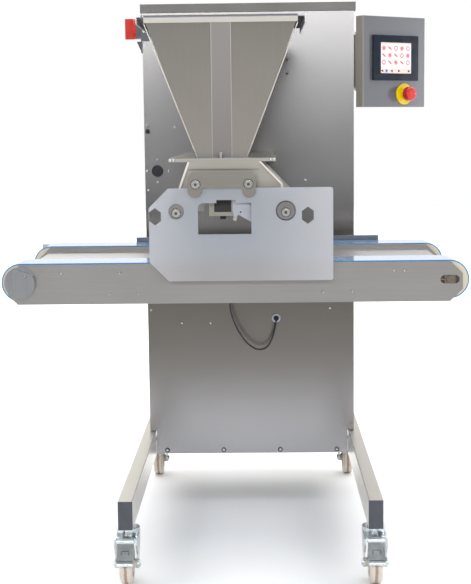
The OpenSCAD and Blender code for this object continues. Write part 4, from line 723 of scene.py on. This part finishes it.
# Painted reflection of the conveyor: a warmer band along the foot
dull = add(tree, "ShaderNodeMapRange", {
    "Value": spot.outputs["Z"], "From Min": DULL_FROM, "From Max": DULL_FULL, "To Max": DULL_SHARE},
    interpolation_type="SMOOTHSTEP")
tone = add(tree, "ShaderNodeMix", {
    0: haze.outputs["Fac"], 6: srgb("#b5bac2"), 7: srgb("#aab0ba")}, data_type="RGBA")
tone = add(tree, "ShaderNodeMix", {
    0: dull.outputs["Result"], 6: tone.outputs[2], 7: srgb("#b4b1b3")}, data_type="RGBA")
tone = add(tree, "ShaderNodeMix", {
    0: clear.outputs["Result"], 6: tone.outputs[2], 7: srgb("#c9cacf")}, data_type="RGBA")
relief = add(tree, "ShaderNodeBump", {
    "Height": frost.outputs["Fac"], "Strength": 0.3, "Distance": FROST_DEPTH})
shader = add(tree, "ShaderNodeBsdfPrincipled", {
    "Base Color": tone.outputs[2], "Roughness": 0.45, "IOR": 1.58, "Transmission Weight": 0.5,
    "Normal": relief.outputs["Normal"]})
tree.links.new(shader.outputs["BSDF"], output.inputs["Surface"])
dress("guard_plate", material, 1.0)

# Hopper: folded from 2 mm stainless, with the grain down its walls, a turned-over rim and a
# strip welded down the middle of its front. The walls darken towards the rim, a painted shade; the
# strip's folded edges and the front lip carry a painted highlight; the rim's front edge is a bluish
# painted shade.
HOPPER_LOW, HOPPER_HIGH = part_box("hopper")
FOOT_HALF, RIM_HALF, STRIP_HALF = 58.5 * MM, 179.5 * MM, 24 * MM
RIM_Z, HOPPER_FRONT, HOPPER_BACK = HOPPER_HIGH[2] - 6 * MM, HOPPER_LOW[1] + 6 * MM, HOPPER_HIGH[1] - 6 * MM
WALL_SKIN, FOLD_IN, FOLD_HALF, STRIP_IN = 1 * MM, 1 * MM, 0.9 * MM, 2 * MM
RIM_TALL, LIP_MIDDLE, LIP_HALF = 12.2 * MM, RIM_Z - 6 * MM, 6.1 * MM
LIP_PROUD, RIM_PROUD, SIDE_LIP = 1.2 * MM, 5.6 * MM, 3 * MM
LIP_METAL = 0.2
hopper_steel = brushed_stainless("stainless_hopper_ground", "#83807a", "#7a7671", "Z", 0.5, 0.06)
tree, spot = axes_of(hopper_steel)
# Painted shade: the walls darken from the foot up to the rim
height = add(tree, "ShaderNodeMapRange", {
    "Value": spot.outputs["Z"], "From Min": HOPPER_LOW[2], "From Max": RIM_Z})
tint(hopper_steel, height.outputs["Result"], "#cfcfcf")
sideways = add(tree, "ShaderNodeMath", {0: spot.outputs["X"], 1: HEAD_X}, operation="SUBTRACT")
sideways = add(tree, "ShaderNodeMath", {0: sideways.outputs["Value"]}, operation="ABSOLUTE")
ahead = add(tree, "ShaderNodeMath", {
    0: spot.outputs["Y"], 1: HOPPER_FRONT + WALL_SKIN}, operation="LESS_THAN")
under_rim = add(tree, "ShaderNodeMath", {
    0: spot.outputs["Z"], 1: RIM_Z - RIM_TALL}, operation="LESS_THAN")
ahead = add(tree, "ShaderNodeMath", {
    0: ahead.outputs["Value"], 1: under_rim.outputs["Value"]}, operation="MULTIPLY")
# Painted highlight: a light line along each folded edge of the strip
fold = add(tree, "ShaderNodeMath", {
    0: sideways.outputs["Value"], 1: STRIP_HALF - FOLD_IN, 2: FOLD_HALF}, operation="COMPARE")
fold = add(tree, "ShaderNodeMath", {
    0: fold.outputs["Value"], 1: ahead.outputs["Value"]}, operation="MULTIPLY")
tint(hopper_steel, fold.outputs["Value"], "#938e87", "MIX")
strip = add(tree, "ShaderNodeMath", {
    0: sideways.outputs["Value"], 1: STRIP_HALF - STRIP_IN}, operation="LESS_THAN")
strip = add(tree, "ShaderNodeMath", {
    0: strip.outputs["Value"], 1: ahead.outputs["Value"]}, operation="MULTIPLY")
tint(hopper_steel, strip.outputs["Value"], "#767371", "MIX")
# Painted highlight on the front lip under the rim
lip = add(tree, "ShaderNodeMath", {
    0: spot.outputs["Z"], 1: LIP_MIDDLE, 2: LIP_HALF}, operation="COMPARE")
proud = add(tree, "ShaderNodeMath", {
    0: spot.outputs["Y"], 1: HOPPER_FRONT - LIP_PROUD}, operation="LESS_THAN")
lip = add(tree, "ShaderNodeMath", {
    0: lip.outputs["Value"], 1: proud.outputs["Value"]}, operation="MULTIPLY")
tint(hopper_steel, lip.outputs["Value"], "#b6b3ad", "MIX")
# Painted shade: the rim's front edge is darker and bluish
rim = add(tree, "ShaderNodeMath", {
    0: spot.outputs["Y"], 1: HOPPER_FRONT - RIM_PROUD}, operation="LESS_THAN")
tint(hopper_steel, rim.outputs["Value"], "#7a7e8c", "MIX")
# The lips down the sides look paler and duller than the front
side_lip = add(tree, "ShaderNodeMath", {
    0: sideways.outputs["Value"], 1: HOPPER_HIGH[0] - HEAD_X - SIDE_LIP}, operation="GREATER_THAN")
tint(hopper_steel, side_lip.outputs["Value"], "#bcc2c8", "MIX")
metal = add(tree, "ShaderNodeMapRange", {
    "Value": side_lip.outputs["Value"], "To Min": 1.0, "To Max": LIP_METAL})
tree.links.new(metal.outputs["Result"], tree.nodes["Principled BSDF"].inputs["Metallic"])
dress("hopper", hopper_steel, 0.6)

# The corner seams are welded and ground smooth
SEAM_FOOT, SEAM_TOP, SEAM_R = HOPPER_LOW[2] + 2 * MM, RIM_Z - 12 * MM, 1.3 * MM
hopper_seams = [((HEAD_X + side * FOOT_HALF, y, SEAM_FOOT), (HEAD_X + side * RIM_HALF, y, SEAM_TOP))
                for side in (-1, 1) for y in (HOPPER_FRONT, HOPPER_BACK)]
new_piece("hopper_corner_seams", bead_mesh("hopper_corner_seams", hopper_seams, SEAM_R, 1.0),
          weld_steel, "frame")

# Conveyor: two narrow belts on a ground stainless frame. The side plates have their grain along the
# belts; the beds and cross members are the same sheet.
conveyor_steel = brushed_stainless("stainless_side_plate_ground", "#9b9997", "#8b8987", "X", 0.37)
dress("front_side_plate rear_side_plate inner_side_plates slider_beds cross_members", conveyor_steel, 0.4)
dull_steel = brushed_stainless("stainless_screw_pickled", "#bdb7ad", "#968f85", "Y", 0.3)
dress("conveyor_screws", dull_steel)
# The rollers are turned acetal, darker round their hubs: partly the steel axle ends, partly a painted
# shade of the end faces
ROLLER_LOW, ROLLER_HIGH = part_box("idler_roller")
AXIS_X, AXIS_Z = (ROLLER_LOW[0] + ROLLER_HIGH[0]) / 2, (ROLLER_LOW[2] + ROLLER_HIGH[2]) / 2
HUB_R = 26 * MM
roller_acetal = moulded("cream_acetal_turned", "#cfc4ae", "#bfb39c", 0.42)
tree, spot = axes_of(roller_acetal)
along = add(tree, "ShaderNodeMath", {0: spot.outputs["X"]}, operation="ABSOLUTE")
from_axis = add(tree, "ShaderNodeCombineXYZ", {"X": along.outputs["Value"], "Z": spot.outputs["Z"]})
radius = add(tree, "ShaderNodeVectorMath", {
    0: from_axis.outputs["Vector"], 1: (AXIS_X, 0.0, AXIS_Z)}, operation="DISTANCE")
hub = add(tree, "ShaderNodeMath", {0: radius.outputs["Value"], 1: HUB_R}, operation="LESS_THAN")
tint(roller_acetal, hub.outputs["Value"], "#5b5148")
dress("drive_roller idler_roller", roller_acetal)
block_steel = brushed_stainless("steel_block_oiled", "#857a6f", "#5d534a", "Y", 0.4)
dress("tension_blocks", block_steel, 0.4)
TENSION_NUT_R, TENSION_NUT_THICK, NUT_IN = 9.4, 6, 2 * MM
for end, y, facing in (("front", ROLLER_LOW[1] + NUT_IN, -1), ("rear", ROLLER_HIGH[1] - NUT_IN, 1)):
    name = "tension_nut_" + end
    new_piece(name, nut_mesh(name, (AXIS_X, y, AXIS_Z), (0, facing, 0),
                             TENSION_NUT_R, TENSION_NUT_R, TENSION_NUT_THICK),
              block_steel, "conveyor")
dress("guide_bar", brushed_stainless("aluminium_anodised", "#6f757c", "#5f656c", "X", 0.4), 0.5)
cover_steel = brushed_stainless("stainless_cover_turned", "#a2a4a6", "#808285", "Z", 0.32, 0.04)
dress("drive_cover", cover_steel, 0.8)
dress("conveyor_motor", moulded("light_grey_enamel", "#b9bcc0", "#a9acb1", 0.35, coat=0.3), 0.8)

# Sockets of the side plates' screws, dark with the same painted shade
SIDE_PLATE_FRONT, PLATE_SOCKET_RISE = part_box("front_side_plate")[0][1], 2.75 * MM
PLATE_SCREWS = [(x, 709) for x in (-299, -229, 209, 279)] + [(x, 758) for x in (-412, -272, 378, 402)]
plate_sockets = [(x * MM, SIDE_PLATE_FRONT - PLATE_SOCKET_RISE, z * MM) for x, z in PLATE_SCREWS]
new_piece("conveyor_screw_sockets", socket_mesh("conveyor_screw_sockets", plate_sockets, SOCKET_R),
          socket_shadow, "conveyor")

# Belts: blue food-grade polyurethane with a polished top, over a woven carrier that shows as a darker
# line along the cut edges. Seen at a low angle the top mirrors the white backdrop.
WEAVE_SIZE, EDGE_FACING = 2.5 * MM, 0.5
material, tree, output = blank_material("blue_polyurethane_polished")
place = add(tree, "ShaderNodeTexCoord")
facing = add(tree, "ShaderNodeSeparateXYZ", {"Vector": place.outputs["Normal"]})
sideways = add(tree, "ShaderNodeMath", {0: facing.outputs["Y"]}, operation="ABSOLUTE")
edge = add(tree, "ShaderNodeMath", {
    0: sideways.outputs["Value"], 1: EDGE_FACING}, operation="GREATER_THAN")
weave = add(tree, "ShaderNodeTexNoise", {
    "Vector": place.outputs["Object"], "Scale": 1 / WEAVE_SIZE, "Detail": 2.0})
skin = add(tree, "ShaderNodeMix", {
    0: weave.outputs["Fac"], 6: srgb("#4f9bd8"), 7: srgb("#3f8ccb")}, data_type="RGBA")
carrier = add(tree, "ShaderNodeMix", {
    0: weave.outputs["Fac"], 6: srgb("#2f8fd0"), 7: srgb("#1f78b8")}, data_type="RGBA")
tone = add(tree, "ShaderNodeMix", {
    0: edge.outputs["Value"], 6: skin.outputs[2], 7: carrier.outputs[2]}, data_type="RGBA")
shader = add(tree, "ShaderNodeBsdfPrincipled", {
    "Base Color": tone.outputs[2], "Roughness": 0.16, "IOR": 1.52,
    "Coat Weight": 1.0, "Coat Roughness": 0.08, "Coat IOR": 1.55})
tree.links.new(shader.outputs["BSDF"], output.inputs["Surface"])
dress("belt_front belt_rear", material)

# Lift and drives: ground rails on the cabinet's face, a carriage of plate with slide blocks that runs
# on them, and a screw actuator and a gear motor in grey enamel.
dress("lift_rails", bright_steel, 0.5)
# The carriage stands above the legs' tops and inside their span, so the legs' painted shade and painted
# shadow line darken all of it
dress("lift_carriage", leg_steel, 0.6)
dress("lift_actuator feed_motor", moulded("slate_enamel", "#4d5359", "#3f444a", 0.35, coat=0.3), 0.8)

# Control panel: a folded stainless box on a hinge, with a touch screen in a moulded bezel and an
# emergency stop. The fold at the hinge side is paler than the face, a painted light.
PANEL_TURN, HINGE_OFF, FOLD_BACK, BOX_METAL = math.radians(35), 6 * MM, 2 * MM, 0.6
PANEL_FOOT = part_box("control_box")[0][2]
HINGE = Vector((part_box("cabinet_shell")[1][0] + HINGE_OFF, FACE_Y + HINGE_OFF, PANEL_FOOT))
panel_right = Vector((math.cos(PANEL_TURN), math.sin(PANEL_TURN), 0))
box_steel = brushed_stainless("stainless_box_ground", "#87888e", "#78797e", "X", 0.34, 0.06, 0.6)
tree = box_steel.node_tree
tree.nodes["Principled BSDF"].inputs["Metallic"].default_value = BOX_METAL
place = add(tree, "ShaderNodeTexCoord")
across = add(tree, "ShaderNodeVectorMath", {
    0: place.outputs["Object"], 1: tuple(panel_right)}, operation="DOT_PRODUCT")
# Painted light: the fold at the hinge side is paler
side_fold = add(tree, "ShaderNodeMath", {
    0: across.outputs["Value"], 1: HINGE.dot(panel_right) - FOLD_BACK}, operation="LESS_THAN")
tint(box_steel, side_fold.outputs["Value"], "#b5b0a6", "MIX")
dress("control_box", box_steel, 0.8)
dress("touch_screen", moulded("dark_blue_abs_moulded", "#051c30", "#041524", 0.2), 1.2)
dress("emergency_stop", moulded("yellow_abs_moulded", "#f0d800", "#e4c800", 0.3, coat=0.2), 0.6)
dress("stop_button", moulded("red_abs_moulded", "#d8261c", "#c41f16", 0.28, coat=0.3), 0.6)

# Display: a lit panel behind glass with a generic page of round and long biscuit shapes in rows, and
# a bar of plain arrow keys below them. Places on the screen are in mm from the panel's hinge and foot.
panel_frame = Matrix.Translation(HINGE) @ Matrix.Rotation(PANEL_TURN, 4, "Z")
SCREEN_LEFT, SCREEN_RIGHT, SCREEN_FOOT, SCREEN_TOP = 56.2, 170.8, 95.2, 181.8
SCREEN_Y, LAYER_STEP = -42.6, 0.08
TITLE_BAR, KEY_BAR = 5, 14
ROWS, COLUMNS, GRID_LEFT, GRID_TOP, ROW_STEP, COLUMN_STEP = 3, 5, 68, 166, 20, 22.5
ROUND_POINTS = 20


def round_outline(x, z, r, stretch=1.0, lean=0.0):
    """Points of a circle or of a long rounded shape that leans by some degrees."""
    turn = math.radians(lean)
    points = []
    for k in range(ROUND_POINTS):
        a = 2 * math.pi * k / ROUND_POINTS
        u, v = r * stretch * math.cos(a), r * math.sin(a)
        points.append((x + u * math.cos(turn) - v * math.sin(turn),
                       z + u * math.sin(turn) + v * math.cos(turn)))
    return points


def box_outline(x0, z0, x1, z1):
    """Corners of a rectangle."""
    return [(x0, z0), (x1, z0), (x1, z1), (x0, z1)]


LCD_COLOURS = {"page": "#eef0f8", "bar": "#f3d9cf", "biscuit": "#e8737a", "light_biscuit": "#f4aeb0",
               "key": "#20242c", "blue_key": "#2f7fc4"}
shapes = [("page", 0, box_outline(SCREEN_LEFT, SCREEN_FOOT, SCREEN_RIGHT, SCREEN_TOP)),
          ("bar", 1, box_outline(SCREEN_LEFT, SCREEN_TOP - TITLE_BAR, SCREEN_RIGHT, SCREEN_TOP)),
          ("bar", 1, box_outline(SCREEN_LEFT, SCREEN_FOOT, SCREEN_RIGHT, SCREEN_FOOT + KEY_BAR))]
BISCUIT_R, MIDDLE_R, RING_R, RING_HOLE_R = 7.5, 4.5, 7.0, 4.0
FINGER_R, FINGER_STRETCH, FINGER_LEAN = 2.8, 3.0, -35
for row in range(ROWS):
    for column in range(COLUMNS):
        x, z = GRID_LEFT + COLUMN_STEP * column, GRID_TOP - ROW_STEP * row
        if (row + 2 * column) % 3 == 0:
            shapes.append(("light_biscuit", 1, round_outline(x, z, BISCUIT_R)))
            shapes.append(("biscuit", 2, round_outline(x, z, MIDDLE_R)))
        elif (row + column) % 2:
            shapes.append(("biscuit", 1, round_outline(x, z, FINGER_R, FINGER_STRETCH, FINGER_LEAN)))
        else:
            shapes.append(("biscuit", 1, round_outline(x, z, RING_R)))
            shapes.append(("page", 2, round_outline(x, z, RING_HOLE_R)))
KEY_Z, KEY_HALF, KEY_REACH, BLUE_KEY_X, BLUE_KEY_R = 102, 4, 5, 78, 4.5
for x, way in ((62, -1), (97, -1), (125, 1), (162, 1)):
    arrow = [(x - KEY_HALF * way, KEY_Z - KEY_HALF), (x + KEY_REACH * way, KEY_Z),
             (x - KEY_HALF * way, KEY_Z + KEY_HALF)]
    shapes.append(("key", 2, arrow[::way]))
shapes.append(("blue_key", 2, round_outline(BLUE_KEY_X, KEY_Z, BLUE_KEY_R)))
mesh = bmesh.new()
lcd_names = list(LCD_COLOURS)
for colour, layer, outline in shapes:
    depth = SCREEN_Y - LAYER_STEP * layer
    corners = [mesh.verts.new(panel_frame @ (Vector((x, depth, z)) * MM)) for x, z in outline]
    mesh.faces.new(corners).material_index = lcd_names.index(colour)
data = bpy.data.meshes.new("display_page")
mesh.to_mesh(data)
mesh.free()
display = bpy.data.objects.new("display_page", data)
bpy.context.collection.objects.link(display)
PATCH_SIZE, PATCH_SHADE, BACKLIGHT = 3 * MM, 0.9, 0.12
for colour in lcd_names:
    material, tree, output = blank_material("backlit_lcd_" + colour)
    place = add(tree, "ShaderNodeTexCoord")
    pixels = add(tree, "ShaderNodeTexNoise", {
        "Vector": place.outputs["Object"], "Scale": 1 / PATCH_SIZE, "Detail": 2.0})
    tone = add(tree, "ShaderNodeMix", {
        0: pixels.outputs["Fac"], 6: srgb(LCD_COLOURS[colour]),
        7: [c * PATCH_SHADE for c in srgb(LCD_COLOURS[colour])]}, data_type="RGBA")
    shader = add(tree, "ShaderNodeBsdfPrincipled", {
        "Base Color": tone.outputs[2], "Roughness": 0.25, "IOR": 1.5, "Coat Weight": 0.4,
        "Emission Color": srgb(LCD_COLOURS[colour]), "Emission Strength": BACKLIGHT})
    tree.links.new(shader.outputs["BSDF"], output.inputs["Surface"])
    data.materials.append(material)
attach(display, "panel")

# Isolator: a rotary handle moulded in red polycarbonate on a grey ABS base, fixed at the cabinet's
# upper left.
dress("isolator_base", moulded("grey_abs_moulded", "#5b5e62", "#4f5256", 0.45), 0.6)
dress("isolator_handle", moulded("red_polycarbonate_moulded", "#cf1f06", "#b91a04", 0.5), 1.2)
